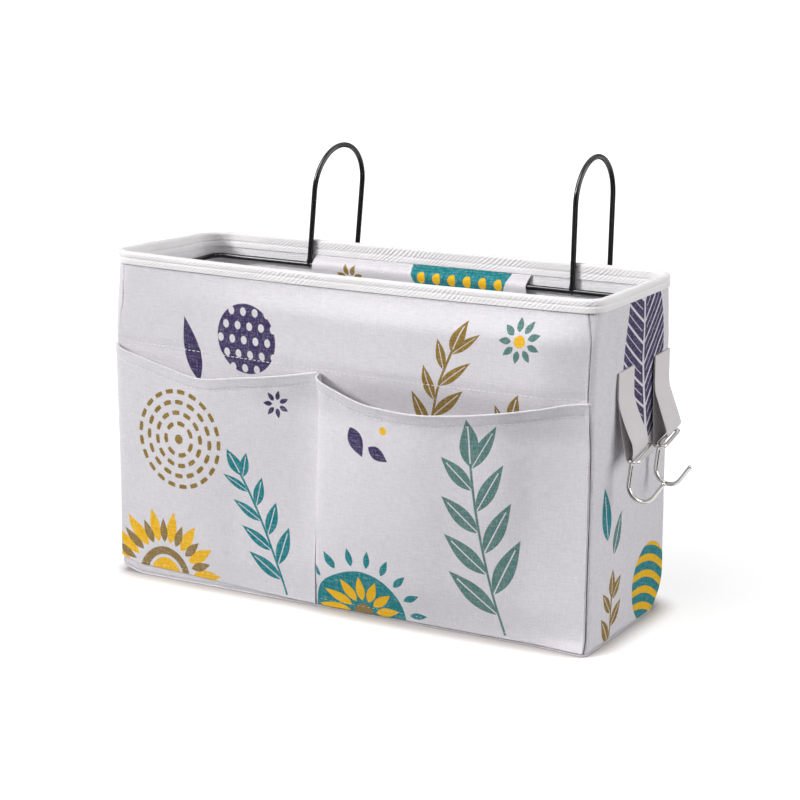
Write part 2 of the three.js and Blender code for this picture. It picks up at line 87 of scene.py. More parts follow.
# Layers of a wall and the air between them
CLOTH = 0.7
BOARD = 1.2
LINING = 0.5
GAP = 0.3
BOARD_EDGE = 4.0
BOARD_DEPTH = CLOTH + GAP
LINING_DEPTH = BOARD_DEPTH + BOARD + GAP
WALL_THICKNESS = LINING_DEPTH + LINING
WALL_BOTTOM = CLOTH + GAP
BOARD_BOTTOM = WALL_BOTTOM + BOARD + GAP
LINING_BOTTOM = BOARD_BOTTOM + LINING + GAP

# Rim binding
BINDING = 0.5
BINDING_OUTSIDE = 7.5
BINDING_INSIDE = 9.5
WALL_TOP = BAG_HEIGHT - BINDING - GAP
BINDING_INNER_DEPTH = WALL_THICKNESS + GAP + BINDING

# Front pockets
POCKET = 0.8
POCKET_TOP = 145.0
POCKET_BOTTOM = 2.0
POCKET_SIDE_INSET = 2.0
DIVIDER_TOP = -11.0
DIVIDER_BOTTOM = -17.0


def smooth(t):
    t = np.clip(t, 0, 1)
    return t * t * (3 - 2 * t)


def ramp(value, start, reach):
    """0 up to a start, and from there smoothly up to 1 over a reach."""
    return smooth((value - start) / reach)


def hump(value, width):
    """1 at zero, falling away on both sides."""
    return np.exp(-((value / width) ** 2))


def mix(a, b, t):
    return a + (b - a) * t


def path_length(path):
    """How far along a path each of its points is."""
    return np.concatenate([[0], np.cumsum(np.linalg.norm(np.diff(path, axis=0), axis=1))])


# Smooth noise over a plane, from a fixed table of random values
CELLS = 64
LATTICE = rng.uniform(-1, 1, (CELLS, CELLS))


def drift(a, b, layer=0):
    """Smooth noise from -1 to 1 that changes over about one unit of a and of b."""
    a = np.asarray(a, float) + 17.3 * layer
    b = np.asarray(b, float) + 9.7 * layer
    ia, ib = np.floor(a).astype(int), np.floor(b).astype(int)

    def row(up):
        first, second = (LATTICE[(ia + k) % CELLS, (ib + up) % CELLS] for k in (0, 1))
        return mix(first, second, smooth(a - ia))

    return mix(row(0), row(1), smooth(b - ib))


# Walls, each along its own direction with the bag on its left
def half_width(z):
    return np.full_like(z, BAG_WIDTH / 2)


def half_depth(z):
    return (BAG_DEPTH - RIM_SHALLOWING * z / BAG_HEIGHT) / 2


WALLS = {
    "front": dict(along=(1, 0), out=(0, -1), length=half_width, reach=half_depth,
                  start="front_left", end="front_right"),
    "right": dict(along=(0, 1), out=(1, 0), length=half_depth, reach=half_width,
                  start="front_right", end="back_right"),
    "back": dict(along=(-1, 0), out=(0, 1), length=half_width, reach=half_depth,
                 start="back_right", end="back_left"),
    "left": dict(along=(0, -1), out=(-1, 0), length=half_depth, reach=half_width,
                 start="back_left", end="front_left"),
}

# A seam runs down its corner's middle, but the front corners' seams turn on to the front
SEAM_MIDDLE = math.radians(45)
SEAM_UP_RIGHT = math.radians(71)
LEFT_SEAM_INSET = 3.0
LEFT_SEAM_SLANT = 6.5
LEFT_SEAM_MOST = 0.93


def corner_radius(corner, z, depth):
    base, middle, rim = CORNERS[corner]
    low = (1 - np.clip(z / BASE_ROUNDING, None, 1)) ** 2
    reach = FRONT_RIGHT_ROUNDING if corner == "front_right" else RIM_ROUNDING
    high = ramp(z, BAG_HEIGHT - reach, reach)
    outer = middle + (base - middle) * low + (rim - middle) * high
    return np.maximum(outer - depth, GAP)


def seam_angle(side, corner, z):
    """Angle at a corner between a wall's side direction and its seam, 90 degrees being its own flat."""
    angle = np.full_like(z, SEAM_MIDDLE)
    if corner == "front_left":
        inset = LEFT_SEAM_INSET + LEFT_SEAM_SLANT * (z / BAG_HEIGHT) ** 2
        angle = np.arccos(1 - np.minimum(inset / corner_radius(corner, z, 0.0), LEFT_SEAM_MOST))
    if corner == "front_right":
        angle = mix(SEAM_MIDDLE, SEAM_UP_RIGHT, ramp(z, 110, 35))
    return angle if side in ("front", "back") else math.pi / 2 - angle


# Fullness of the cloth: the front stands out before its right seam, and low waves run all round
FULLNESS = 9.0
FULL_FROM = -150.0
FULL_BY = 45.0
FULLEST_AT = 131.0
FULL_TO = 159.5
FULL_AT_POCKET = 0.26
FLAT_AT_RIM = 0.92
TOE = 2.8
TOE_HEIGHT = 5.5
CORNER_LIFT = 4.2
WAVE = 0.5


def waves(a, b, phase):
    slow = np.sin(a / 33 + phase) * np.cos(b / 47 + 1.3 * phase)
    return 0.65 * slow + 0.35 * np.sin(a / 15 - b / 31 + 2.1 * phase)


def fullness(x, z):
    """How far the front stands out before it turns back to its right seam."""
    fall = 1 - np.clip((x - FULLEST_AT) / (FULL_TO - FULLEST_AT), 0, 1) ** 1.4
    across = ramp(x, FULL_FROM, FULL_BY - FULL_FROM) * fall
    over_pocket = mix(FULL_AT_POCKET, 1.0, ramp(z, 120, 32))
    return FULLNESS * across * ramp(z, 0, 28) * over_pocket * (1 - FLAT_AT_RIM * ramp(z, 176, 17))


def corner_lift(x, y, z):
    """How far the soft left front corner of the base stays off the floor."""
    return CORNER_LIFT * ramp(-x, 142, 20) * ramp(-y, 30, 26) * (1 - ramp(z, 0, 70))


def soft_set(points):
    """Moves points of the ideal straight bag to where the soft bag holds them."""
    x, y, z = np.moveaxis(points, -1, 0)
    side = x / (BAG_WIDTH / 2)
    back = y / BAG_DEPTH + 0.5
    left_lean = mix(LEFT_LEAN_FRONT, LEFT_LEAN_BACK, ramp(back, 0.3, 0.35))
    right_lean = mix(RIGHT_LEAN_FRONT, RIGHT_LEAN, ramp(y, -50, 30))
    near_rim = ramp(z, BAG_HEIGHT - LEAN_REACH, LEAN_REACH)
    lean = np.where(side > 0, right_lean, left_lean) * side * near_rim
    back_rise = mix(BACK_LEFT_RISE, BACK_RIGHT_RISE, (side + 1) / 2)
    rise = mix(FRONT_CORNERS_RISE * side**2, back_rise, back) * (z / BAG_HEIGHT) ** 2
    rise = rise + corner_lift(x, y, z)
    sway = WAVE * ramp(z, 0, 40) * (1 - 0.7 * ramp(z, 165, 30))
    front, rear = ramp(-y, 15, 25), ramp(y, 15, 25)
    right, left = ramp(x, 120, 30), ramp(-x, 120, 30)
    forward = (fullness(x, z) + TOE * ramp(x, 126, 34) * hump(z, TOE_HEIGHT)) * front
    sway_x = sway * (right * waves(y, z, 1.1) + left * waves(y, z, 3.2))
    sway_y = sway * (front * waves(x, z, 0.4) + rear * waves(x, z, 2.3))
    return np.stack([x + lean + sway_x, y - forward + sway_y, z + rise], axis=-1)


def on_wall(wall, along, out, z):
    """Points of the ideal straight bag, from places along a wall and out from its middle."""
    x, y = (wall["along"][k] * along + wall["out"][k] * out for k in (0, 1))
    return np.stack(np.broadcast_arrays(x, y, z), axis=-1)


def wall_point(side, t, z, depth, seam=None, inward=0.0):
    """A point of a wall and its place along the cloth.

    t runs from -1 at the first seam over 0 to 1 on the flat to 2 at the last seam.
    """
    wall = WALLS[side]
    t, z, depth = np.broadcast_arrays(*(np.asarray(value, float) for value in (t, z, depth)))
    half = wall["length"](z) - depth
    radii = [corner_radius(wall[end], z, depth) for end in ("start", "end")]
    edges = [radii[0] - half, half - radii[1]]
    along = cloth = edges[0] + (edges[1] - edges[0]) * np.clip(t, 0, 1)
    drop = 0.0
    shares = np.clip(t + 1, 0, 1), np.clip(2 - t, 0, 1)
    for end, sign, radius, edge, share in zip(("start", "end"), (-1, 1), radii, edges, shares):
        seam_at = seam_angle(side, wall[end], z) if seam is None else seam
        angle = mix(seam_at, math.pi / 2, share)
        rounded = share < 1
        along = np.where(rounded, edge + sign * (radius * np.cos(angle) - inward * (1 - share)), along)
        cloth = np.where(rounded, edge + sign * radius * (math.pi / 2 - angle), cloth)
        drop = np.where(rounded, radius * (1 - np.sin(angle)), drop)
    return soft_set(on_wall(wall, along, wall["reach"](z) - depth - drop, z)), cloth


def seam_distance(side, t, z):
    """How far a place on a wall's rounded ends is from the nearer seam, and a long way on its flat."""
    wall = WALLS[side]
    share = np.clip(np.where(t < 0, 1 + t, 2 - t), 0, 1)
    span = [corner_radius(wall[end], z, 0) * (math.pi / 2 - seam_angle(side, wall[end], z))
            for end in ("start", "end")]
    return np.where(t < 0, share * span[0], np.where(t > 1, share * span[1], 50.0))


# Mesh making
def mesh_object(name, points, faces, cloth=None, sharp=40):
    """A mesh in the row frame from points in millimetres, with their places on the cloth."""
    mesh = bpy.data.meshes.new(name)
    mesh.from_pydata((np.asarray(points, float) * MM).tolist(), [], faces)
    mesh.polygons.foreach_set("use_smooth", np.ones(len(mesh.polygons), bool))
    mesh.set_sharp_from_angle(angle=math.radians(sharp))
    if cloth is not None:
        attribute = mesh.attributes.new("cloth", "FLOAT_VECTOR", "POINT")
        attribute.data.foreach_set("vector", np.asarray(cloth, np.float32).ravel())
    mesh.update()
    return linked(bpy.data.objects.new(name, mesh))


def linked(thing):
    bpy.context.scene.collection.objects.link(thing)
    return thing


def places(u, v):
    """Places on the cloth in millimetres, for a mesh's points."""
    u, v = np.broadcast_arrays(u, v)
    return np.stack([u, v, np.zeros_like(u)], axis=-1)


def grid_normals(middle, closed=False):
    if closed:
        wrapped_round = np.concatenate([middle[-1:], middle, middle[:1]], axis=0)
        du = wrapped_round[2:] - wrapped_round[:-2]
    else:
        du = np.gradient(middle, axis=0)
    normal = np.cross(du, np.gradient(middle, axis=1))
    return normal / np.maximum(np.linalg.norm(normal, axis=-1, keepdims=True), 1e-9)


def edge_faces(line, shift, outward):
    """Faces that close a sheet's edge between its two skins."""
    a, b = line[:-1], line[1:]
    corners = [a, a + shift, b + shift, b] if outward else [a, b, b + shift, a + shift]
    return np.stack(corners, -1)


def sheet_object(name, middle, half, cloth, closed=False, outer_bump=0.0, inner_bump=0.0, sharp=40):
    """A thin closed sheet about a grid of middle points, columns first, with its outside along du x dv."""
    grid = middle.shape[:2]
    normal = grid_normals(middle, closed)
    outer = middle + normal * np.broadcast_to(half + outer_bump, grid)[..., None]
    inner = middle - normal * np.broadcast_to(half - inner_bump, grid)[..., None]
    index = np.arange(grid[0] * grid[1]).reshape(grid)
    shift = index.size
    if closed:
        index = np.concatenate([index, index[:1]], axis=0)
    a, b, c, d = index[:-1, :-1], index[1:, :-1], index[1:, 1:], index[:-1, 1:]
    faces = [np.stack([a, b, c, d], -1).reshape(-1, 4), np.stack([a, d, c, b], -1).reshape(-1, 4) + shift]
    rims = [(index[:, 0], True), (index[:, -1], False)]
    if not closed:
        rims += [(index[0], False), (index[-1], True)]
    faces += [edge_faces(line, shift, outward) for line, outward in rims]
    points = np.concatenate([outer.reshape(-1, 3), inner.reshape(-1, 3)])
    both = np.tile(cloth.reshape(-1, 3), (2, 1))
    return mesh_object(name, points, np.concatenate(faces).tolist(), both, sharp)


def spaced(low, high, step):
    return np.linspace(low, high, max(2, int(round((high - low) / step)) + 1))


def wall_stations(side, arc_steps=10, step=2.2):
    """Places across a wall for wall_point, closer together towards its seams."""
    flat = spaced(0, 1, step / (BAG_WIDTH if side in ("front", "back") else BAG_DEPTH))
    arc = 1 - np.linspace(1, 0, arc_steps + 1) ** 1.7
    return np.concatenate([-arc[:0:-1], flat, 1 + arc[1:]])


def wall_levels(bottom, top, step=2.4):
    near = np.array([0, 0.35, 0.8, 1.4, 2.1])
    return np.concatenate([bottom + near, spaced(bottom + 3.2, top - 3.2, step), top - near[::-1]])


# The outer cloth lies in at its seams, at its foot, under the binding and along the front's row of stitches
CREASE_AT = 146.0
SEAM_TURN = {"front": 1.5, "right": 0.9, "back": 0.9, "left": 0.9}
SEAM_TURN_REACH = 1.2
FOOT_REACH = 2.6
LINING_SLIT = 0.03


def drawn_in(side, t, z, bottom):
    """How much further in the outer cloth lies than its wall."""
    turned = SEAM_TURN[side] * np.clip(1 - seam_distance(side, t, z + 0 * t) / SEAM_TURN_REACH, 0, 1) ** 1.7
    if side == "right":
        turned = turned * (t >= 0)
    foot = np.clip(1 - (z - bottom) / FOOT_REACH, 0, 1) ** 2
    uneven = 0.16 * drift(t * 9, z / 23, 1) * ramp(z, 4, 20) + 0.10 * drift(t * 26, z / 8, 2)
    under_binding = 0.5 * np.exp(-np.clip(BAG_HEIGHT - BINDING_OUTSIDE + 0.6 - z, 0, None) / 1.6)
    crease = 0.45 * hump(z - CREASE_AT, 1.1) if side == "front" else 0.0
    return turned + foot + uneven + under_binding + crease


def wall_layer(name, side, depth, thickness, bottom, outer=False):
    """One layer of a wall, from seam to seam."""
    t = wall_stations(side)[:, None]
    z = wall_levels(bottom, WALL_TOP)[None, :]
    inside_by = depth + thickness / 2 + (drawn_in(side, t, z, bottom) if outer else 0.0)
    inward = GAP / math.sqrt(2) if outer else LINING_SLIT
    middle, u = wall_point(side, t, z, inside_by, inward=inward)
    return sheet_object(name, middle, thickness / 2, places(u, z + 0 * t))


def wall_board(name, side):
    """A board stands flat between its wall's corners and stops short of them."""
    wall = WALLS[side]
    levels = wall_levels(BOARD_BOTTOM, WALL_TOP - BOARD_EDGE, 6.0)
    low, high = (wall["length"](levels) - corner_radius(wall[end], levels, 0) for end in ("start", "end"))
    across = spaced(BOARD_EDGE - low.min(), high.min() - BOARD_EDGE, 4.0)[:, None]
    z = levels[None, :]
    middle = soft_set(on_wall(wall, across, wall["reach"](z) - BOARD_DEPTH - BOARD / 2, z))
    return sheet_object(name, middle, BOARD / 2, places(across, z))


# A sheet in the base: rings of points from its edge to its middle, and how thick it is at each
RING_SHARES = np.array([1.0, 0.994, 0.985, 0.95, 0.88, 0.78, 0.65, 0.5, 0.35, 0.2, 0.08])
RING_THICKNESS = np.array([0.25, 0.8, 1.0, 1, 1, 1, 1, 1, 1, 1, 1])


def base_sheet(name, depth, thickness, bottom):
    """A sheet that fills the bag's outline at its base, its rim a little rounded."""
    ring = np.concatenate([
        wall_point(side, wall_stations(side, 9, 4.0)[:-1], 0.0, depth, SEAM_MIDDLE)[0] for side in WALLS
    ])
    middle = bottom + thickness / 2
    points = []
    for half in (thickness / 2, -thickness / 2):
        for share, thick in zip(RING_SHARES, RING_THICKNESS):
            place = ring * share
            place[:, 2] = middle + half * thick + corner_lift(place[:, 0], place[:, 1], 0.0)
            points.append(place)
        points.append(np.array([[0, 0, middle + half]]))
    points = np.concatenate(points)
    index = np.arange(len(RING_SHARES) * len(ring)).reshape(-1, len(ring))
    beside = np.roll(index, -1, axis=1)
    block = index.size + 1
    quads = np.stack([index[:-1], beside[:-1], beside[1:], index[1:]], -1).reshape(-1, 4)
    fan = np.stack([index[-1], beside[-1], np.full(len(ring), index.size)], -1)
    rim = np.stack([index[0], block + index[0], block + beside[0], beside[0]], -1)
    faces = []
    for part in (quads, fan, quads[:, ::-1] + block, fan[:, ::-1] + block, rim):
        faces += part.tolist()
    return mesh_object(name, points, faces, places(points[:, 0], points[:, 1]))


# Rim binding: a bias tape folded over the walls' top, drawn into fine slanting puckers by its stitching
PUCKER_PERIOD = 3.0
PUCKER_SLANT = 1.45
TAPE_STITCH_ABOVE = 3.6
TAPE_ROUNDING = 1.5
PUCKERS = {"front": 0.75, "right": 0.12, "back": 1.0, "left": 0.35}


def binding_profile():
    """Middle line of the tape as depth and height, from its outer edge over the rim to its inner."""
    outside = -GAP - BINDING / 2
    inside_at = BINDING_INNER_DEPTH - BINDING / 2
    top = BAG_HEIGHT - BINDING / 2
    fall = 1 - np.sin(np.radians([18, 36, 54, 72, 90]))
    bend = 1 - np.cos(np.radians([18, 36, 54, 72, 90]))
    line = [(outside, z) for z in spaced(BAG_HEIGHT - BINDING_OUTSIDE, top - TAPE_ROUNDING, 0.42)]
    line += list(zip(outside + TAPE_ROUNDING * bend, top - TAPE_ROUNDING * fall))
    over_rim = spaced(outside + TAPE_ROUNDING, inside_at - TAPE_ROUNDING, 0.6)[1:-1]
    line += [(depth, top) for depth in over_rim]
    line += list(zip(inside_at - TAPE_ROUNDING * bend, top - TAPE_ROUNDING * fall))[::-1]
    line += [(inside_at, z) for z in spaced(BAG_HEIGHT - BINDING_INSIDE, top - TAPE_ROUNDING, 0.55)[::-1]]
    return np.array(line)


def pucker_strength(side, t):
    """How strongly the tape is puckered along a wall, with a smooth change to the next wall."""
    sides = list(PUCKERS)
    following = PUCKERS[sides[(sides.index(side) + 1) % len(sides)]]
    return mix(PUCKERS[side], (PUCKERS[side] + following) / 2, smooth(t - 0.85))


def rim_binding(name):
    profile = binding_profile()
    down = path_length(profile)
    columns, strengths = [], []
    for side in WALLS:
        t = wall_stations(side, 22, 0.6)[:-1][:, None]
        columns.append(wall_point(side, t, profile[None, :, 1], profile[None, :, 0], SEAM_MIDDLE)[0])
        strengths.append(pucker_strength(side, t[:, 0]))
    middle = np.concatenate(columns)
    strength = np.concatenate(strengths)[:, None]
    s = path_length(middle[:, 0])[:, None]
    p = down[None, :]
    phase = (s - PUCKER_SLANT * p) / PUCKER_PERIOD + 0.8 * drift(s / 21, p / 9, 3)
    ridge = 1 - np.abs(np.sin(math.pi * phase)) ** 0.9
    uneven = np.clip(0.75 + 0.5 * drift(s / 17, p / 3.5, 4), 0.1, 1.1)
    free = ramp(p, 0, 0.8) * ramp(down[-1] - p, 0, 0.8)
    puckers = -0.62 * ridge * uneven * strength * free * (1 - 0.75 * hump(p - 9.5, 2.2))
    stitched_at = TAPE_STITCH_ABOVE, down[-1] - TAPE_STITCH_ABOVE
    groove = -0.42 * sum(hump(p - place, 0.45) for place in stitched_at)
    swell = 0.12 * drift(s / 40, p / 5, 5)
    edge = np.minimum(1, np.minimum(p + 0.08, down[-1] - p + 0.08) / 0.35) ** 0.5
    return sheet_object(name, middle, BINDING / 2 * edge, places(s, p), closed=True,
                        outer_bump=puckers + groove + swell, sharp=60)


def paired(x, z):
    return np.stack(np.broadcast_arrays(x, z), axis=-1)


def curve_through(points, knots, at):
    """Smooth curve through points, given at rising knots, as monotone cubic pieces."""
    gaps = np.diff(knots)[:, None]
    slope = np.diff(points, axis=0) / gaps
    left, right = slope[:-1], slope[1:]
    same = left * right > 0
    between = np.where(same, 2 * left * right / np.where(same, left + right, 1), 0)
    tangent = np.concatenate([slope[:1], between, slope[-1:]])
    k = np.clip(np.searchsorted(knots, at, side="right") - 1, 0, len(knots) - 2)
    h = gaps[k]
    u = (at - knots[k])[:, None] / h
    a = (1 + 2 * u) * (1 - u) ** 2 * points[k] + u * (1 - u) ** 2 * h * tangent[k]
    return a + u**2 * (3 - 2 * u) * points[k + 1] + u**2 * (u - 1) * h * tangent[k + 1]


# Front pockets
HEM = 7.0
LEFT_BOTTOM_LIFT = 5.0
SIDE_REACH = 0.08
STITCH_SINK = 0.18
POCKET_END = BAG_WIDTH / 2 - POCKET_SIDE_INSET

# Places below a pocket's edge where its cloth has a row of points, closest round the hem
BELOW_EDGE = np.array([0, 0.3, 0.7, 1.2, 2.0, 3.0, 4.2, 5.2, 6.0, 6.6, 7.0, 7.4, 8.0, 9.2])


def divider_at(z):
    return mix(DIVIDER_BOTTOM, DIVIDER_TOP, (z - POCKET_BOTTOM) / (POCKET_TOP - POCKET_BOTTOM))


# An edge is given from left to right as share of the width, distance out from the wall, and sag. A row
# of stitches is given as its distance below the edge, or as a height if negative, and its columns
POCKETS = {
    "left": dict(
        left_at=lambda z: -POCKET_END,
        right_at=lambda z: divider_at(z) - GAP,
        layer=20,
        edge=[(0, 0, 0), (0.022, 3.0, 0.9), (0.05, 4.0, 2.3), (0.14, 5, 5.2), (0.27, 6.4, 9),
              (0.45, 8, 13), (0.65, 6, 9), (0.83, 3, 5), (1, 0, 0)],
        rows=[(HEM, 2, -3), (-8.5, 3, -4)],
    ),
    "right": dict(
        left_at=lambda z: divider_at(z) + GAP + POCKET,
        right_at=lambda z: POCKET_END,
        layer=30,
        edge=[(0, 0, 0), (0.022, 8.5, 1.6), (0.1, 12, 6), (0.25, 16, 12), (0.42, 18.5, 13),
              (0.58, 15.5, 11), (0.72, 12, 7.5), (0.84, 4.5, 4.5), (0.95, 0.8, 1), (1, 0, 0.5)],
        rows=[(HEM, 4, -3), (-6.0, 14, -4)],
    ),
}


def pocket_grid(pocket):
    """Middle points of a pocket's cloth, with its places along the cloth."""
    edge = np.array(pocket["edge"], float)
    left_at, right_at = pocket["left_at"], pocket["right_at"]
    first, last = left_at(POCKET_TOP), right_at(POCKET_TOP)
    knots = path_length(paired(edge[:, 0] * (last - first), edge[:, 1]))
    near_sides = [spaced(0, 18, 0.7), knots[-1] - spaced(0, 8, 0.9)]
    at = np.unique(np.concatenate([spaced(0, knots[-1], 1.7), *near_sides]))
    share, stand, sag = (column[:, None] for column in curve_through(edge, knots, at).T)
    rises = np.concatenate([
        [0, 0.006, 0.014], spaced(0.028, 0.915, 0.0155), 1 - BELOW_EDGE[::-1] / POCKET_TOP,
    ])
    opened = np.sin(rises * math.pi / 2)
    lifted = LEFT_BOTTOM_LIFT * ramp(-mix(first, last, share), 0, BAG_WIDTH / 2)
    z = mix(POCKET_BOTTOM + lifted, POCKET_TOP - sag, rises)
    x = mix(left_at(z), right_at(z), share * (1 - (1 - opened) * hump(share, SIDE_REACH)))
    y = -half_depth(z) - GAP - POCKET / 2 - stand * opened
    return np.stack([x, y, z], axis=-1), at


def front_pocket(name, pocket):
    """A pocket's cloth, and what its stitches need: its grid, half thickness and place below its edge."""
    grid, at = pocket_grid(pocket)
    layer = pocket["layer"]
    z = grid[..., 2]
    u = at[:, None] + pocket["left_at"](POCKET_TOP) + 0 * z
    below = z[:, -1:] - z
    loose = (ramp(at, 0, 25) * ramp(at[-1] - at, 0, 25))[:, None]
    belly = 0.55 * drift(u / 42, z / 55, layer) * loose * ramp(z, 0, 30)
    crumple = 0.20 * drift(u / 13, z / 19, layer + 1) * loose + 0.07 * drift(u / 4.3, z / 6, layer + 2)
    drawn = 0.18 * hump(below - HEM, 0.9)
    gathers = 0.22 * drift(u / 3.1, below / 9, layer + 3) * hump(below - HEM, 4.5)
    grid = soft_set(grid + grid_normals(grid) * (belly + crumple)[..., None])
    doubled = 1 + 0.35 * smooth((HEM - below) / 1.2)
    rounding = np.sqrt(np.clip(1 - (1 - np.clip(below / 0.7, 0, 1)) ** 2, 0.04, 1))
    half = POCKET / 2 * doubled * rounding
    lip = 0.25 * hump(below, 1.6)
    piece = sheet_object(name, grid, half, places(u, z), outer_bump=gathers + lip - drawn,
                         inner_bump=-0.3 * drawn, sharp=60)
    return piece, (grid, half, below)


def hem_line(sewn, distance, first, last):
    """Points on a pocket's outer face at a distance below its edge, or at a height if that is negative."""
    grid, half, below = sewn
    outer = grid + grid_normals(grid) * (half[..., None] - STITCH_SINK)
    level = below if distance >= 0 else grid[..., 2]
    line = []
    for k in range(first, len(grid) + last):
        order = np.argsort(level[k])
        line.append([np.interp(abs(distance), level[k][order], outer[k, order, c]) for c in range(3)])
    return np.array(line)


# Hanging sleeve down the inside of the back wall, in front of the back bar
WIRE_RADIUS = 1.6
FRAME_CORNER = 5.5
FRAME_DROP = 16.5
FRAME_HEIGHT = BAG_HEIGHT - FRAME_DROP
FRAME_DEPTH = BINDING_INNER_DEPTH + GAP + WIRE_RADIUS
SLEEVE = 0.6
SLEEVE_LEFT = -79.0
SLEEVE_RIGHT = 70.0
SLEEVE_BAR_DROP = 12.0
SLEEVE_DROP = 51.0


def hanging_sleeve(name):
    bar_inset = FRAME_DEPTH - WALL_THICKNESS
    bend = np.radians([75, 45, 15, -10])
    over_bar = (WIRE_RADIUS + GAP + SLEEVE / 2) * paired(np.cos(bend), np.sin(bend))
    over_bar += (bar_inset, FRAME_HEIGHT)
    line = np.concatenate([[(0.65, BAG_HEIGHT - BINDING_INSIDE - GAP)], over_bar, [
        (bar_inset + 1.2, FRAME_HEIGHT - 5),
        (bar_inset + 0.6, FRAME_HEIGHT - SLEEVE_BAR_DROP),
        (0.8, BAG_HEIGHT - SLEEVE_DROP),
    ]])
    knots = path_length(line)
    inset, z = curve_through(line, knots, spaced(0, knots[-1], 0.9)).T
    x = np.array([[SLEEVE_RIGHT], [SLEEVE_LEFT]])
    below = smooth((FRAME_HEIGHT - 4 - z) / 12)
    y = half_depth(z) - WALL_THICKNESS - inset - 0.35 * below * np.abs(1 + drift(x / 31, z / 20, 12))
    straight = np.stack(np.broadcast_arrays(x, y, z), axis=-1)
    held = smooth((FRAME_HEIGHT - z) / 10) + ramp(z, FRAME_HEIGHT + 3, 3)
    middle = mix(straight, soft_set(straight), np.clip(held, 0, 1)[:, None])
    return sheet_object(name, middle, SLEEVE / 2, places(x, z))


# Wires
END_ANGLES = np.radians([75, 50, 25])


def tube_object(name, path, radii, sides, closed=False):
    """A round wire along a path of points, its radius given at each point, its ends rounded."""
    radii = np.broadcast_to(np.asarray(radii, float), len(path))
    if closed:
        tangents = np.roll(path, -1, axis=0) - np.roll(path, 1, axis=0)
    else:
        tangents = np.gradient(path, axis=0)
    tangents /= np.linalg.norm(tangents, axis=1, keepdims=True)
    side = np.cross(tangents[0], (0, 0, 1) if abs(tangents[0, 2]) < 0.9 else (1, 0, 0))
    aside = []
    for tangent in tangents:
        side = side - tangent * side.dot(tangent)
        side = side / np.linalg.norm(side)
        aside.append(side)
    aside = np.array(aside)
    upward = np.cross(tangents, aside)
    if not closed:
        out, thin = np.sin(END_ANGLES)[:, None], np.cos(END_ANGLES)
        start = path[0] - tangents[0] * radii[0] * out
        end = path[-1] + tangents[-1] * radii[-1] * out[::-1]
        path = np.concatenate([start, path, end])
        radii = np.concatenate([radii[0] * thin, radii, radii[-1] * thin[::-1]])
        aside, upward = (np.pad(way, ((3, 3), (0, 0)), "edge") for way in (aside, upward))
    turns = (2 * math.pi * np.arange(sides) / sides)[:, None]
    around = np.cos(turns) * aside[:, None] + np.sin(turns) * upward[:, None]
    points = path[:, None] + radii[:, None, None] * around
    index = np.arange(len(path) * sides).reshape(-1, sides)
    rows = np.concatenate([index, index[:1]]) if closed else index
    beside = np.roll(rows, -1, axis=1)
    faces = np.stack([rows[:-1], beside[:-1], beside[1:], rows[1:]], -1).reshape(-1, 4).tolist()
    if not closed:
        faces += [index[0, ::-1].tolist(), index[-1].tolist()]
    return mesh_object(name, points.reshape(-1, 3), faces, sharp=50)


def arc(centre, radius, start, end, count):
    """Points of an arc in a plane, from one angle to another in degrees."""
    angles = np.radians(np.linspace(start, end, count + 1))
    return np.array(centre) + radius * paired(np.cos(angles), np.sin(angles))


def smoothed(path, rounds):
    """Evens out a path's small kinks, its ends kept."""
    for _ in range(rounds):
        inner = path[1:-1] + 0.25 * (path[:-2] - 2 * path[1:-1] + path[2:])
        path = np.concatenate([path[:1], inner, path[-1:]])
    return path


def support_frame(name):
    low, high = (np.array(corner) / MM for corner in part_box("support_frame"))
    left, front, _ = low + WIRE_RADIUS + FRAME_CORNER
    right, back, _ = high - WIRE_RADIUS - FRAME_CORNER
    centres = [(right, back), (left, back), (left, front), (right, front)]
    corners = [arc(centre, FRAME_CORNER, 90 * k, 90 * k + 90, 12) for k, centre in enumerate(centres)]
    flat = []
    for corner, following in zip(corners, corners[1:] + corners[:1]):
        flat += [corner, np.linspace(corner[-1], following[0], 24)[1:-1]]
    path = np.insert(np.concatenate(flat), 2, (low[2] + high[2]) / 2, axis=1)
    return tube_object(name, path, WIRE_RADIUS, 20, closed=True)


RAIL_HOOKS = {
    "left": dict(across=-82.0, leg=44.5, lean=5.2, turn=3.6),
    "right": dict(across=99.5, leg=48.2, lean=1.3, turn=0.0),
}
RAIL_SPAN = 53.0
RAIL_RETURN = 26.0

# Heights at a rail hook's foot, and how thick its weld makes the wire there
WELD_HEIGHTS = [-3.2, -2.4, -1.6, -0.9, -0.2, 0.6, 1.6, 3.0]
WELD_SWELL = np.array([0.5, 0.8, 1.05, 1.24, 1.3, 1.22, 1.08, 1.0])


def rail_hook(name, hook):
    """A hook that stands welded on the back bar and comes down behind the back wall."""
    bend, leg = RAIL_SPAN / 2, hook["leg"]
    line = np.concatenate([
        paired(0.0, np.concatenate([WELD_HEIGHTS, np.linspace(5, leg, 9)])),
        arc((bend, leg), bend, 180, 0, 30)[1:],
        paired(RAIL_SPAN, np.linspace(leg, -RAIL_RETURN, 16)[1:]),
    ])
    lean, turn = math.radians(hook["lean"]), math.radians(hook["turn"])
    placing = np.array(Matrix.Rotation(lean, 3, "Y") @ Matrix.Rotation(-turn, 3, "Z"))
    foot = FRAME_HEIGHT + WIRE_RADIUS + GAP + WIRE_RADIUS * math.sin(lean)
    path = np.insert(line, 0, 0.0, axis=1) @ placing.T
    path += (hook["across"], half_depth(FRAME_HEIGHT) - FRAME_DEPTH, foot)
    radii = np.full(len(path), WIRE_RADIUS)
    radii[:len(WELD_SWELL)] *= WELD_SWELL
    return tube_object(name, path, radii, 20)


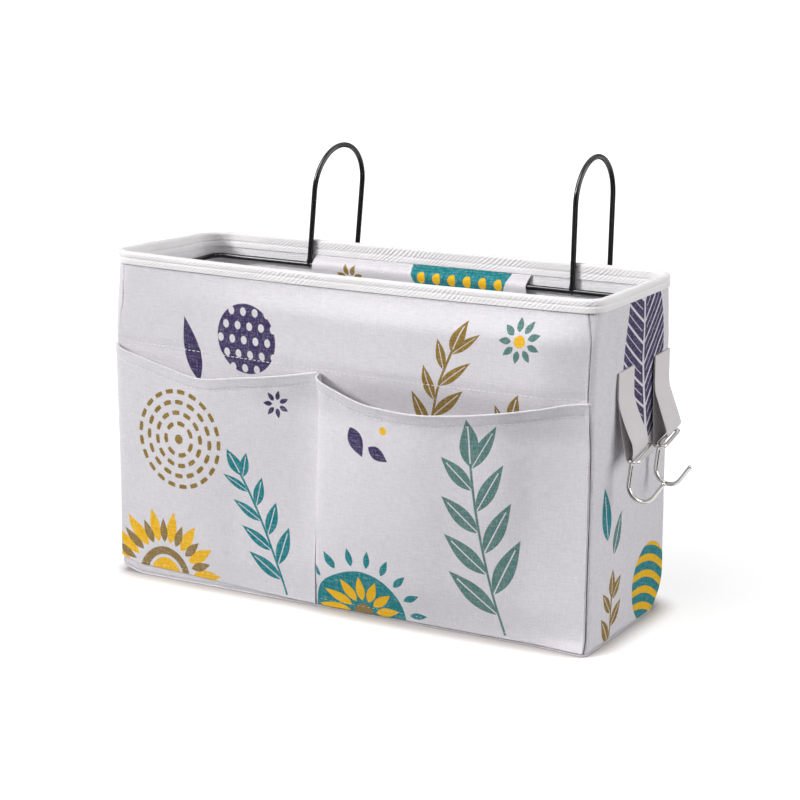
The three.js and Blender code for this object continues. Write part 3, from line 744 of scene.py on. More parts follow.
# Side hooks and the tape loops that they hang in
TAPE_WIDTH = 21.0
TAPE = 0.6
TAB_TOP = 156.5
TAB_CLEAR = 0.6
FALL_STEPS = 22
STRAPS = {
    "front": dict(along=-12.5, foot=143.5, bar_out=8.2, bar_drop=34.0, sag=0.9,
                  fall=[(0.0, 0.0), (0.5, -4.5), (3.0, -12.0), (6.4, -20.0), (9.1, -26.0), (9.4, -29.0),
                        (9.25, -31.8)]),
    "rear": dict(along=38.0, foot=141.0, bar_out=3.0, bar_drop=34.5, sag=0.3,
                 fall=[(0.0, 0.0), (0.5, -4.5), (2.7, -11.0), (5.6, -19.0), (8.2, -26.6), (8.7, -28.9),
                       (7.3, -30.2), (5.3, -31.5), (4.4, -33.0)]),
}
HOOK_WIRE = 1.2
EYE_TILT = math.radians(11)
EYE_SPACING = 5.6
EYE_FAR_SPACING = 5.0
EYE_FAR_SHORTER = 0.7
EYE_CORNER = 2.0
EYE_TURN = 1.5
EYE_CLEARANCE = 0.8
EYE_HALF_LENGTH = TAPE_WIDTH / 2 + EYE_CLEARANCE + HOOK_WIRE
SHANK = 13.2
SHANK_LEAN = 2.2
HOOK_BEND = 8.5
TIP_ANGLE = 35
TIP = 10.0
WRAP_RADIUS = HOOK_WIRE + GAP + TAPE / 2


def strap_wall(strap):
    """Where the tape lies against the right wall."""
    low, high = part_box(f"{strap}_strap_tab")
    return low[0] / MM


def side_hook(name, strap):
    """One bright wire: round the eye from its hidden end, down the shank and round the open hook."""
    sizes = STRAPS[strap]
    half_wide, far_round = EYE_SPACING / 2, EYE_FAR_SPACING / 2
    near = EYE_CORNER - EYE_HALF_LENGTH
    far = EYE_HALF_LENGTH - EYE_FAR_SHORTER - far_round
    back = np.linspace(0, 1, 14)[1:]
    x, y = np.concatenate([
        arc((EYE_CORNER - half_wide, near), EYE_CORNER, 236, 200, 2),
        np.linspace((-half_wide, near), (-half_wide, far), 14),
        arc((far_round - half_wide, far), far_round, 180, 0, 12)[1:],
        paired(mix(EYE_FAR_SPACING - half_wide, half_wide, smooth(back * 1.15)), mix(far, near, back)),
        arc((half_wide - EYE_CORNER, near), EYE_CORNER, 0, -90, 7)[1:],
    ]).T
    turn_x, turn_z = arc((x[-1], -EYE_TURN), EYE_TURN, 90, 180, 5)[1:].T
    z = np.concatenate([0 * x, turn_z])
    x = np.concatenate([x, turn_x]) + half_wide
    y = np.concatenate([y, np.full(len(turn_x), -EYE_HALF_LENGTH)])
    eye = np.stack([x, y * math.cos(EYE_TILT), y * math.sin(EYE_TILT) + z], axis=-1)
    end_height = -EYE_HALF_LENGTH * math.sin(EYE_TILT)
    shank_x = half_wide - SHANK_LEAN
    bend = arc((shank_x + HOOK_BEND, -SHANK), HOOK_BEND, 180, 360 - TIP_ANGLE, 26)[1:]
    tip = math.radians(TIP_ANGLE)
    tip_end = bend[-1] + TIP * np.array([math.sin(tip), math.cos(tip)])
    lower = np.concatenate([
        np.linspace((eye[-1, 0], eye[-1, 2] - end_height), (shank_x, -SHANK), 9)[1:],
        bend, np.linspace(bend[-1], tip_end, 6)[1:],
    ]) + (0, end_height)
    path = smoothed(np.concatenate([eye, np.insert(lower, 1, eye[-1, 1], axis=1)]), 3)
    path += (strap_wall(strap) + sizes["bar_out"], sizes["along"], sizes["foot"] - GAP - sizes["bar_drop"])
    return tube_object(name, path, HOOK_WIRE, 18)


def tape_line(sizes):
    """Middle line of a tape as distance out and height: its tab, round the eye's bar and up again."""
    out, drop = sizes["bar_out"], sizes["bar_drop"]
    tab = np.linspace(TAB_TOP - sizes["foot"], TAB_CLEAR, 9) + GAP
    fall = np.array(sizes["fall"]) + (1.5 * TAPE, 0)
    fall = np.concatenate([fall, [(out + WRAP_RADIUS, 0.1 - drop)]])
    knots = path_length(fall)
    u = np.arange(FALL_STEPS)[::-1] / FALL_STEPS
    behind = mix(0.5 * TAPE, out - WRAP_RADIUS, u) - sizes["sag"] * np.sin(math.pi * u) * u
    return smoothed(np.concatenate([
        paired(1.5 * TAPE, tab),
        curve_through(fall, knots, np.linspace(0, knots[-1], 3 * FALL_STEPS))[:-1],
        arc((out, -drop), WRAP_RADIUS, 0, -180, 14),
        paired(behind, -drop * u),
        paired(0.5 * TAPE, tab[::-1]),
    ]), 1)


def tape_strap(name, strap):
    """Tape sewn to the wall at its tab, down round the eye's bar and up again."""
    sizes = STRAPS[strap]
    line = tape_line(sizes)
    run = path_length(line)
    out, up = line.T
    across = np.linspace(TAPE_WIDTH / 2, -TAPE_WIDTH / 2, 17)[:, None]
    share = np.clip(-up / sizes["bar_drop"], 0, 1)
    bulge = np.sin(math.pi * share)
    cupped = 0.9 * bulge * (1 - (2 * across / TAPE_WIDTH) ** 2)
    x = strap_wall(strap) + out + np.where(run < run[-1] / 2, 1, 0.25) * cupped - 0.3 * bulge
    y = sizes["along"] + across * (1 - 0.05 * smooth(share))
    slant = math.tan(EYE_TILT) * share + 0.05 * smooth(up / (TAB_TOP - sizes["foot"]))
    z = sizes["foot"] - GAP + up + across * slant
    edge = np.clip((TAPE_WIDTH / 2 - np.abs(across)) / 0.5 + 0.35, 0, 1) ** 0.5
    middle = np.stack([x, y, z], axis=-1)
    return sheet_object(name, middle, (TAPE / 2 - 0.03) * edge, places(across, run), sharp=60)


# Colours
def colour(hexa):
    """Linear colour from a screen colour."""
    parts = [int(hexa[i:i + 2], 16) / 255 for i in (0, 2, 4)]
    return tuple(c / 12.92 if c <= 0.04045 else ((c + 0.055) / 1.055) ** 2.4 for c in parts) + (1.0,)


def grey(level):
    return (level, level, level, 1.0)


# Fields: values that vary over a surface, written as arithmetic and kept as a material's nodes
class Field:
    def __init__(self, socket):
        self.socket = socket

    __add__ = __radd__ = lambda self, other: maths("ADD", self, other)
    __mul__ = __rmul__ = lambda self, other: maths("MULTIPLY", self, other)
    __sub__ = lambda self, other: maths("SUBTRACT", self, other)
    __rsub__ = lambda self, other: maths("SUBTRACT", other, self)
    __truediv__ = lambda self, other: maths("DIVIDE", self, other)
    __pow__ = lambda self, other: maths("POWER", self, other)
    __abs__ = lambda self: maths("ABSOLUTE", self)


def feed(socket, value):
    """Links a field to a socket, or sets the socket to a plain value."""
    if isinstance(value, Field):
        socket.id_data.links.new(value.socket, socket)
    else:
        socket.default_value = value


def node_for(kind, *values):
    """A new node in the material that the first field among some values belongs to."""
    field = next(value for value in values if isinstance(value, Field))
    return field.socket.id_data.nodes.new(kind)


def maths(operation, *values, clamp=False):
    node = node_for("ShaderNodeMath", *values)
    node.operation = operation
    node.use_clamp = clamp
    for socket, value in zip(node.inputs, values):
        feed(socket, value)
    return Field(node.outputs[0])


def sine(a):
    return maths("SINE", a)


def most(a, b):
    return maths("MAXIMUM", a, b)


def above(a, b):
    return maths("GREATER_THAN", a, b)


def clamped(a):
    return maths("ADD", a, 0.0, clamp=True)


def wrapped(a, high):
    return maths("WRAP", a, high, 0.0)


def middled(a, step):
    """How far a value is from the middle of its step."""
    return wrapped(a, step) - step / 2


def inside(distance):
    """1 where a distance is above zero, with a soft edge."""
    return maths("MULTIPLY_ADD", distance, 1 / 0.35, 0.5, clamp=True)


def without(mask, hole):
    return mask * (1.0 - hole)


def distance_of(u, v):
    return maths("SQRT", u * u + v * v)


def noise(place, detail=2.0):
    """Noise from 0 to 1 at a place given by three values."""
    join = node_for("ShaderNodeCombineXYZ", *place)
    for socket, value in zip(join.inputs, place):
        feed(socket, value)
    node = node_for("ShaderNodeTexNoise", *place)
    node.inputs["Scale"].default_value = 1.0
    node.inputs["Detail"].default_value = detail
    feed(node.inputs["Vector"], Field(join.outputs[0]))
    return Field(node.outputs[0])


def coloured(base, top, amount, blend="MIX"):
    """Lays a colour over another by an amount."""
    node = node_for("ShaderNodeMix", base, top, amount)
    node.data_type = "RGBA"
    node.blend_type = blend
    first, second = (socket for socket in node.inputs if socket.type == "RGBA")
    feed(first, base)
    feed(second, top)
    feed(node.inputs[0], amount)
    return Field(next(socket for socket in node.outputs if socket.type == "RGBA"))


# Motifs of the print
def turned(place, foot, heading, bow=0.0):
    """Places across and along a heading, in degrees clockwise from upright, from a foot point."""
    a = math.radians(heading)
    u = place[0] - foot[0]
    v = place[1] - foot[1]
    across, along = u * math.cos(a) - v * math.sin(a), u * math.sin(a) + v * math.cos(a)
    return (across + along * along * bow if bow else across), along


def leaf_shape(aside, out, length, width, vein=0.0):
    """A pointed leaf from its foot at out = 0, widest below its middle."""
    reach = clamped(out / length)
    half = sine((reach**0.8) * math.pi) * width / 2
    shape = inside(half - abs(aside) - 0.18)
    if vein:
        shape = without(shape, inside(vein - abs(aside)) * above(0.82, reach))
    return shape


def leaf(place, foot, heading, length, width, vein=0.0):
    return leaf_shape(*turned(place, foot, heading), length, width, vein)


def sprig(place, foot, heading, pairs, spacing, length, fork=40, taper=0.1, bow=0.0, vein=0.35):
    """A stem with leaves standing out at both sides in turn and one at its tip."""
    across, along = turned(place, foot, heading, bow)
    staggered = along + above(0.0, across) * (spacing / 2)
    side = abs(across)
    turn = math.radians(fork)
    offset = side * math.cos(turn) - staggered * math.sin(turn)
    pitch = spacing * math.sin(turn)
    width = pitch * 0.86
    rank = maths("ROUND", offset / -pitch)
    aside = offset + rank * pitch
    out = side * math.sin(turn) + (staggered - rank * spacing) * math.cos(turn)
    size = 1.0 - rank * taper
    leaves = leaf_shape(aside / size, out / size - 1.0, length, width, vein)
    leaves = leaves * above(rank, 0.5) * above(pairs + 0.5, rank)
    top = pairs * spacing + 1.5
    stem = inside(0.75 - side) * above(along, 0.0) * above(top + 2, along)
    tip = leaf_shape(side, along - top, length * (1 - taper * pairs), width * 0.9, vein)
    return most(most(leaves, stem), tip)


def polar(place, centre):
    u = place[0] - centre[0]
    v = place[1] - centre[1]
    return distance_of(u, v), maths("ARCTAN2", v, u)


def disc(place, centre, radius):
    return inside(radius - polar(place, centre)[0])


def dots(place, spacing, radius, slant=0.0):
    """Round dots in staggered rows."""
    row = maths("FLOOR", place[1] / spacing)
    x = middled(place[0] + row * (spacing * 0.5 + slant), spacing)
    y = middled(place[1], spacing)
    return inside(radius - maths("SQRT", x * x + y * y * 0.7))


def petals(place, centre, inner, outer, count, width, start=0.0):
    """Drop-shaped rays round a centre, between two radii."""
    radius, angle = polar(place, centre)
    swing = middled(angle + start, 2 * math.pi / count)
    return leaf_shape(swing * radius, radius - inner, outer - inner, width)


def dashed_rings(place, centre, inner, outer, spacing=6.6, width=3.0, dash=9.0):
    """Rings of dashes round a centre."""
    radius, angle = polar(place, centre)
    ring = maths("FLOOR", radius / spacing)
    count = maths("ROUND", (ring + 0.5) * spacing * (2 * math.pi / dash))
    run = (wrapped((angle / (2 * math.pi) + ring * 0.137 + 1.0) * count, 1.0) - 0.5) * dash
    band = width / 2 - abs(middled(radius, spacing)) - abs(run) * 0.12
    return inside(dash * 0.32 - abs(run)) * inside(band) * above(radius, inner) * above(outer, radius)


def curved_stripes(place, centre, heading, radius, spacing, share):
    across, along = turned(place, centre, heading)
    bent = along + across * across * (0.25 / radius)
    return inside(spacing * share / 2 - abs(middled(bent, spacing)))


def veined_leaf(place, foot, heading, length, width, pitch=13.0, fork=52):
    """A broad leaf with a light midrib and side veins."""
    across, along = turned(place, foot, heading)
    reach = clamped(along / length)
    side = abs(across)
    blade = inside(sine((reach**0.72) * math.pi) ** 0.8 * width / 2 - side - 0.18)
    turn = math.radians(fork)
    offset = side * math.cos(turn) - along * math.sin(turn) + side * side * 0.004
    step = pitch * math.sin(turn)
    vein = inside(0.75 - abs(middled(offset, step)))
    fine = inside(0.28 - abs(middled(offset + step / 2, step)))
    rib = inside(1.3 - side * (0.8 + reach))
    return without(blade, most(most(vein, fine * above(side, 3.0)), rib))


INKS = {
    "purple": colour("3b2f5c"),
    "teal": colour("0a8088"),
    "gold": colour("8f7226"),
    "tan": colour("927847"),
    "yellow": colour("f5bd10"),
    "sage": colour("5a827e"),
}


# Layout of the print on each panel: masks and inks, the later ones on top
def front_print(place):
    yield sprig(place, (52, 88), 12, 4, 20, 33, fork=34, bow=-0.0012), "gold"
    yield sprig(place, (98, 96), 22, 2, 17, 24, fork=34), "gold"
    yield without(disc(place, (-62, 158), 21), dots(place, 8.5, 2.1)), "purple"
    yield leaf(place, (-98, 128), -14, 40, 12), "purple"
    yield petals(place, (118, 176), 5, 13, 9, 4.2), "sage"
    yield disc(place, (118, 176), 3.4), "yellow"


def left_pocket_print(place):
    yield dashed_rings(place, (-107, 92), 6, 31), "gold"
    yield disc(place, (-107, 92), 3.0), "gold"
    yield sprig(place, (-30, 4), -17, 4, 19, 30, fork=38, bow=0.0016), "teal"
    sun = (-122, 3)
    yield petals(place, sun, 21, 43, 15, 8.2, 0.1), "yellow"
    yield petals(place, sun, 21, 37, 15, 6.0, 0.1 + math.pi / 15), "tan"
    yield without(disc(place, sun, 18), disc(place, sun, 13)), "tan"
    yield disc(place, sun, 11), "yellow"
    yield petals(place, (-38, 122), 2.5, 9, 7, 3.4), "purple"


def right_pocket_print(place):
    yield sprig(place, (118, 4), -14, 4, 25, 41, fork=38, taper=0.08, bow=-0.0008, vein=0.45), "sage"
    bloom = (28, 2)
    yield disc(place, bloom, 27), "teal"
    yield petals(place, bloom, 8, 24, 13, 6.0, 0.05), "yellow"
    yield disc(place, bloom, 6), "tan"
    yield petals(place, bloom, 30, 42, 19, 4.6, 0.05), "teal"
    yield leaf(place, (24, 118), 152, 19, 11), "purple"
    yield leaf(place, (37, 108), 118, 15, 8), "purple"
    yield disc(place, (47, 119), 2.4), "yellow"


def right_print(place):
    yield veined_leaf(place, (22, 108), -10, 128, 56), "purple"
    yield leaf(place, (-28, 60), -12, 34, 13, 0.4), "teal"
    yield leaf(place, (-20, 50), 22, 26, 10, 0.4), "sage"
    ball = disc(place, (30, 20), 24)
    yield ball, "teal"
    yield ball * curved_stripes(place, (30, 20), 20, 24, 9.5, 0.45), "yellow"
    yield sprig(place, (-26, -8), 6, 2, 16, 21), "gold"


def back_print(place):
    yield sprig(place, (-90, 14), 10, 6, 22, 35, taper=0.06, vein=0.4), "sage"
    yield without(disc(place, (10, 120), 34), dots(place, 10, 2.6)), "teal"
    yield dashed_rings(place, (-20, 40), 6, 30), "gold"
    yield veined_leaf(place, (95, 10), 14, 120, 52), "purple"
    yield petals(place, (130, 150), 10, 24, 13, 6), "yellow"
    yield disc(place, (130, 150), 8), "tan"
    yield sprig(place, (45, 126), -20, 3, 17, 25), "gold"
    yield sprig(place, (-140, 106), -4, 4, 18, 28), "teal"


def left_print(place):
    yield sprig(place, (12, 8), -8, 5, 22, 34, taper=0.07, vein=0.4), "teal"
    yield petals(place, (-30, 160), 8, 22, 11, 6), "yellow"
    yield disc(place, (-30, 160), 6), "purple"
    yield dashed_rings(place, (36, 60), 5, 24, 6.4, 3.0, 8.6), "gold"


def sleeve_print(place):
    ground = disc(place, (24, 196), 34)
    yield ground, "teal"
    yield ground * dots(place, 10.5, 2.7, 1.3), "yellow"
    yield petals(place, (-52, 178), 3, 10, 8, 3.8), "gold"


# Materials
THREAD_PITCH = 1.1
THREAD_WANDER = 1.8
RIB_PITCH = 0.9
STRAP_RIB_PITCH = 0.8
TWIST_PITCH = 0.5


def new_material(name):
    material = bpy.data.materials.new(name)
    material.use_nodes = True
    material.node_tree.nodes.clear()
    return material, material.node_tree


def shader_end(tree, settings, height, depth):
    """The surface shader with its bump, uniform values set on the shader's own sockets."""
    shader = tree.nodes.new("ShaderNodeBsdfPrincipled")
    for socket, value in settings.items():
        feed(shader.inputs[socket], value)
    bump = tree.nodes.new("ShaderNodeBump")
    bump.inputs["Distance"].default_value = depth * MM
    feed(bump.inputs["Height"], height)
    feed(shader.inputs["Normal"], Field(bump.outputs[0]))
    output = tree.nodes.new("ShaderNodeOutputMaterial")
    feed(output.inputs["Surface"], Field(shader.outputs[0]))


def parts_of(tree, output):
    """The three parts of a vector, one field each."""
    split = tree.nodes.new("ShaderNodeSeparateXYZ")
    feed(split.inputs[0], Field(output))
    return [Field(part) for part in split.outputs]


def cloth_place(tree):
    """Place along and up the cloth in millimetres, from the piece's own attribute."""
    attribute = tree.nodes.new("ShaderNodeAttribute")
    attribute.attribute_name = "cloth"
    return parts_of(tree, attribute.outputs["Vector"])[:2]


def object_place(tree, scale):
    """Object coordinates in units of a scale, one field each."""
    coordinate = tree.nodes.new("ShaderNodeTexCoord")
    return [part * (1 / scale) for part in parts_of(tree, coordinate.outputs["Object"])]


def linen(name, ground, artwork=None):
    """Plain-woven linen: crossing uneven threads, a few slubs, and ink thinner on raised threads."""
    material, tree = new_material(name)
    u, v = cloth_place(tree)

    def uneven(across, up, layer, detail=1.0):
        return noise((u * across, v * up, layer), detail)

    warp = sine((u + uneven(0.3, 0.05, 3.0) * THREAD_WANDER) * (2 * math.pi / THREAD_PITCH))
    weft = sine((v + uneven(0.05, 0.3, 7.0) * THREAD_WANDER) * (2 * math.pi / THREAD_PITCH))
    weave = warp * weft
    yarn_u = uneven(1.05, 0.17, 1.0) - 0.5
    yarn_v = uneven(0.17, 1.05, 5.0) - 0.5
    slub = clamped((uneven(0.05, 0.85, 6.0) - 0.64) * 6.0)
    grain = uneven(1.5, 1.5, 9.0, 2.0) - 0.5
    cloudy = uneven(0.022, 0.022, 2.0, 2.0) - 0.5
    worn = clamped(yarn_u * -0.35 - yarn_v * 0.35 - grain * 0.5 + 0.98)
    surface = ground
    inked = u * 0.0
    for mask, ink in artwork((u, v)) if artwork else ():
        surface = coloured(surface, INKS[ink], mask * worn)
        inked = most(inked, mask)
    threads = weave * 0.8 + yarn_u * 1.5 + yarn_v * 1.9 + grain * 2.2 - slub * 0.3
    tone = threads * (inked * 0.10 + 0.10) + cloudy * 0.05 + 1.0
    height = weave * 0.5 + yarn_u * 1.4 + yarn_v * 1.4 + grain * 0.8 + slub * 0.4
    shader_end(tree, {"Base Color": coloured(surface, tone, 1.0, "MULTIPLY"), "Roughness": 0.92,
                      "Specular IOR Level": 0.2, "Sheen Weight": 0.08, "Sheen Roughness": 0.5}, height, 0.22)
    return material


def twill(name, ground, slant, pitch):
    """Close twill tape: fine slanting ribs and a little unevenness."""
    material, tree = new_material(name)
    u, v = cloth_place(tree)
    wander = noise((u * 0.2, v * 0.2, 4.0), 1.0)
    rib = sine((u * slant + v + wander * 1.2) * (2 * math.pi / pitch))
    grain = noise((u * 1.8, v * 1.8, 6.0)) - 0.5
    cloudy = noise((u * 0.03, v * 0.08, 8.0)) - 0.5
    tone = rib * 0.012 + grain * 0.09 + cloudy * 0.07 + 1.0
    shader_end(tree, {"Base Color": coloured(ground, tone, 1.0, "MULTIPLY"), "Roughness": 0.88,
                      "Specular IOR Level": 0.3, "Sheen Weight": 0.15, "Sheen Roughness": 0.45},
               rib * 0.5 + grain, 0.1)
    return material


def dipped_wire(name):
    """Black plastic-dipped wire, semi-gloss, with the faint unevenness of the dip."""
    material, tree = new_material(name)
    uneven = noise(object_place(tree, 6 * MM))
    dust = noise(object_place(tree, 0.5 * MM), 3.0)
    surface = coloured(colour("060607"), colour("131314"), clamped((dust - 0.45) * 2.0))
    shader_end(tree, {"Base Color": surface, "Roughness": uneven * 0.10 + 0.13, "Specular IOR Level": 0.5},
               uneven + dust * 0.15, 0.12)
    return material


def bright_nickel(name):
    """Bright nickel with fine drawing marks."""
    material, tree = new_material(name)
    uneven = noise(object_place(tree, 3 * MM))
    marks = noise(object_place(tree, 0.25 * MM), 3.0)
    surface = coloured(colour("dcdbd8"), colour("b9b7b2"), marks)
    shader_end(tree, {"Base Color": surface, "Roughness": marks * 0.08 + 0.05, "Metallic": 1.0},
               uneven * 0.6 + marks * 0.1, 0.06)
    return material


def grey_board(name):
    """Raw pressed board."""
    material, tree = new_material(name)
    fibre = noise(object_place(tree, 0.8 * MM), 4.0)
    patch = noise(object_place(tree, 12 * MM))
    amount = clamped((fibre * 0.7 + patch * 0.3 - 0.35) * 2.2)
    shader_end(tree, {"Base Color": coloured(colour("b9ab94"), colour("9c8f7a"), amount), "Roughness": 0.9,
                      "Specular IOR Level": 0.2}, fibre, 0.1)
    return material


def sewing_thread(name, base):
    """Twisted cotton thread."""
    material, tree = new_material(name)
    x, y, z = object_place(tree, MM)
    twist = sine((x + y + z) * (2 * math.pi / TWIST_PITCH))
    fuzz = noise(object_place(tree, 0.4 * MM))
    surface = coloured(base, colour("c9c6ca"), clamped((fuzz - 0.45) * 1.6))
    shader_end(tree, {"Base Color": surface, "Roughness": 0.7, "Specular IOR Level": 0.35,
                      "Sheen Weight": 0.1}, twist * 0.5 + fuzz * 0.5, 0.06)
    return material


CLOTH_GROUND = colour("e0dde2")
PRINTS = {
    "front": front_print, "right": right_print, "back": back_print, "left": left_print,
    "left_pocket": left_pocket_print, "right_pocket": right_pocket_print, "sleeve": sleeve_print,
}
materials = {panel: linen(f"printed_linen_{panel}", CLOTH_GROUND, PRINTS[panel]) for panel in PRINTS}
materials.update({
    "base": linen("linen_base", CLOTH_GROUND),
    # The lining's ground is lighter than the outer cloth's to stand in for more light inside the bag:
    # painted light
    "lining": linen("linen_lining_painted_light", colour("efedf0")),
    "tape": twill("twill_tape", colour("efedee"), 1.0, RIB_PITCH),
    "strap": twill("twill_strap", colour("d9d4d6"), 0.0, STRAP_RIB_PITCH),
    "board": grey_board("grey_board"),
    "wire": dipped_wire("dipped_wire"),
    "nickel": bright_nickel("bright_nickel"),
    "thread": sewing_thread("sewing_thread", colour("f0eef0")),
})


def finish_piece(piece, material, slot, body="bag", nodes=()):
    """Gives a piece its material, and puts it in the place of the solids that it stands for; its slot is not
    used.
    """
    piece.data.materials.clear()
    piece.data.materials.append(materials[material])
    if nodes:
        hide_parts(*nodes)
    if body:
        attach(piece, body)


# Stitches, set along lines on the cloth
STITCH_PITCH = 3.2
STITCH_LENGTH = 2.4
STITCH_THICKNESS = 0.5
STITCH_TURN = 0.09
STITCH_NODES = {
    "given": "NodeGroupInput", "points": "GeometryNodeCurveToPoints", "loop": "GeometryNodeMeshUVSphere",
    "size": "ShaderNodeCombineXYZ", "wobble": "FunctionNodeRandomValue",
    "turn": "FunctionNodeRotateRotation", "place": "GeometryNodeInstanceOnPoints",
    "real": "GeometryNodeRealizeInstances", "smooth": "GeometryNodeSetShadeSmooth",
    "finish": "GeometryNodeSetMaterial", "out": "NodeGroupOutput",
}
STITCH_LINKS = [
    ("given", "Geometry", "points", "Curve"), ("given", "Pitch", "points", "Length"),
    ("given", "Thickness", "size", 0), ("given", "Thickness", "size", 1), ("given", "Length", "size", 2),
    ("points", "Rotation", "turn", 0), ("wobble", 0, "turn", 1), ("points", "Points", "place", "Points"),
    ("loop", "Mesh", "place", "Instance"), ("turn", 0, "place", "Rotation"), ("size", 0, "place", "Scale"),
    ("place", 0, "real", 0), ("real", 0, "smooth", 0), ("smooth", 0, "finish", "Geometry"),
    ("given", "Thread", "finish", "Material"), ("finish", 0, "out", 0),
]


def stitch_tree():
    """Geometry nodes that set a small thread loop at each step along a curve."""
    tree = bpy.data.node_groups.new("stitches", "GeometryNodeTree")
    sockets = {}
    for label, kind in (("Geometry", "Geometry"), ("Pitch", "Float"), ("Length", "Float"),
                        ("Thickness", "Float"), ("Thread", "Material")):
        socket = tree.interface.new_socket(label, in_out="INPUT", socket_type=f"NodeSocket{kind}")
        sockets[label] = socket.identifier
    tree.interface.new_socket("Geometry", in_out="OUTPUT", socket_type="NodeSocketGeometry")
    nodes = {label: tree.nodes.new(kind) for label, kind in STITCH_NODES.items()}
    nodes["points"].mode = "LENGTH"
    for socket, value in (("Segments", 6), ("Rings", 5), ("Radius", 0.5)):
        nodes["loop"].inputs[socket].default_value = value
    wobble = nodes["wobble"]
    wobble.data_type = "FLOAT_VECTOR"
    wobble.inputs[0].default_value = (-STITCH_TURN,) * 3
    wobble.inputs[1].default_value = (STITCH_TURN,) * 3
    wobble.inputs["Seed"].default_value = 5
    nodes["turn"].rotation_space = "LOCAL"
    for source, output, target, socket in STITCH_LINKS:
        tree.links.new(nodes[source].outputs[output], nodes[target].inputs[socket])
    return tree, sockets


STITCHES, STITCH_SOCKETS = stitch_tree()


def stitched(name, lines):
    """Rows of stitches along lines of points, as one plain mesh."""
    curve = bpy.data.curves.new(name + "_line", "CURVE")
    curve.dimensions = "3D"
    for line in lines:
        spline = curve.splines.new("POLY")
        spline.points.add(len(line) - 1)
        for point, place in zip(spline.points, line):
            point.co = (*(place * MM), 1.0)
    guide = linked(bpy.data.objects.new(name + "_line", curve))
    modifier = guide.modifiers.new("stitches", "NODES")
    modifier.node_group = STITCHES
    for label, value in (("Pitch", STITCH_PITCH * MM), ("Length", STITCH_LENGTH * MM),
                         ("Thickness", STITCH_THICKNESS * MM), ("Thread", materials["thread"])):
        modifier[STITCH_SOCKETS[label]] = value
    evaluated = guide.evaluated_get(bpy.context.evaluated_depsgraph_get())
    mesh = bpy.data.meshes.new_from_object(evaluated)
    guide.modifiers.clear()
    bpy.data.objects.remove(guide)
    mesh.name = name
    finish_piece(linked(bpy.data.objects.new(name, mesh)), "thread", "tape")


# The bag
for side in WALLS:
    finish_piece(wall_layer(f"{side}_cloth", side, 0.0, CLOTH, WALL_BOTTOM, outer=True),
                 side, "printed_cloth", nodes=[f"outer_{side}_panel"])
    finish_piece(wall_board(f"{side}_stiffener", side), "board", "board", nodes=[f"{side}_board"])
    finish_piece(wall_layer(f"{side}_inner_cloth", side, LINING_DEPTH, LINING, LINING_BOTTOM),
                 "lining", "lining_cloth", nodes=[f"{side}_lining"])
for name, layer, material, slot, node in (
    ("base_cloth", (0.0, CLOTH, 0.0), "base", "printed_cloth", "outer_base_panel"),
    ("base_stiffener", (BOARD_DEPTH, BOARD, WALL_BOTTOM), "board", "board", "base_board"),
    ("base_inner_cloth", (LINING_DEPTH, LINING, BOARD_BOTTOM), "lining", "lining_cloth", "base_lining"),
):
    finish_piece(base_sheet(name, *layer), material, slot, nodes=[node])
finish_piece(rim_binding("bias_binding"), "tape", "tape", nodes=["rim_binding"])

sewn_pockets = {}
for side, pocket in POCKETS.items():
    piece, sewn_pockets[side] = front_pocket(f"{side}_pocket_cloth", pocket)
    finish_piece(piece, f"{side}_pocket", "printed_cloth", nodes=[f"{side}_pocket"])
finish_piece(hanging_sleeve("sleeve_cloth"), "sleeve", "printed_cloth", nodes=["hanging_sleeve"])

# The wires
finish_piece(support_frame("wire_frame"), "wire", "coated_wire", nodes=["support_frame"])
for side, hook in RAIL_HOOKS.items():
    finish_piece(rail_hook(f"{side}_wire_hook", hook), "wire", "coated_wire", nodes=[f"{side}_rail_hook"])

# Straps and side hooks
for strap, sizes in STRAPS.items():
    tape = tape_strap(f"{strap}_tape", strap)
    finish_piece(tape, "strap", "tape", body=None, nodes=[f"{strap}_strap_tab", f"{strap}_strap_loop"])
    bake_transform(tape)
    finish_piece(side_hook(f"{strap}_wire_hook_small", strap), "nickel", "bright_wire",
                 body=f"{strap}_hook", nodes=[f"{strap}_side_hook"])

# Stitching
front_row, _ = wall_point("front", np.linspace(0.02, 0.985, 160), CREASE_AT, STITCH_SINK)
stitched("front_row_stitches", [front_row])
for side, pocket in POCKETS.items():
    stitched(f"{side}_pocket_stitches", [hem_line(sewn_pockets[side], *row) for row in pocket["rows"]])

# Stage, light and camera
FLOOR_SIZE = 6000.0
FLOOR_DROP = 0.2
FLOOR_SEEN = 0.50
FLOOR_BOUNCE = 0.30
FLOOR_LIFT = 0.72
# Painted contact shadow on the floor: close to the bag, by ambient occlusion, its lift falls to this level
# and its colour turns warm
CONTACT_LIFT = 0.06
CONTACT_REACH = 0.019
PAINTED_SHADOW_TINT = (1.0, 0.93, 0.90)
STUDIO_REACH = 0.26
AMBIENT = 0.18
SOFTBOX = Vector((-0.48, -0.45, 0.75)).normalized()
SOFTBOX_EDGE = math.cos(math.radians(17))
SOFTBOX_LEVEL = 9.0


def dark_panels(x, y):
    """Where the dark parts of the studio stand round the object, from 0 to 1."""
    return clamped(sine(maths("ARCTAN2", y, x) * 4.0 + 0.9) * 3.0 + 0.6)


def rays(tree):
    """Whether a ray comes from the camera, through something clear or by a reflection."""
    path = tree.nodes.new("ShaderNodeLightPath")
    return [Field(path.outputs[f"Is {kind} Ray"]) for kind in ("Camera", "Transmission", "Glossy")]


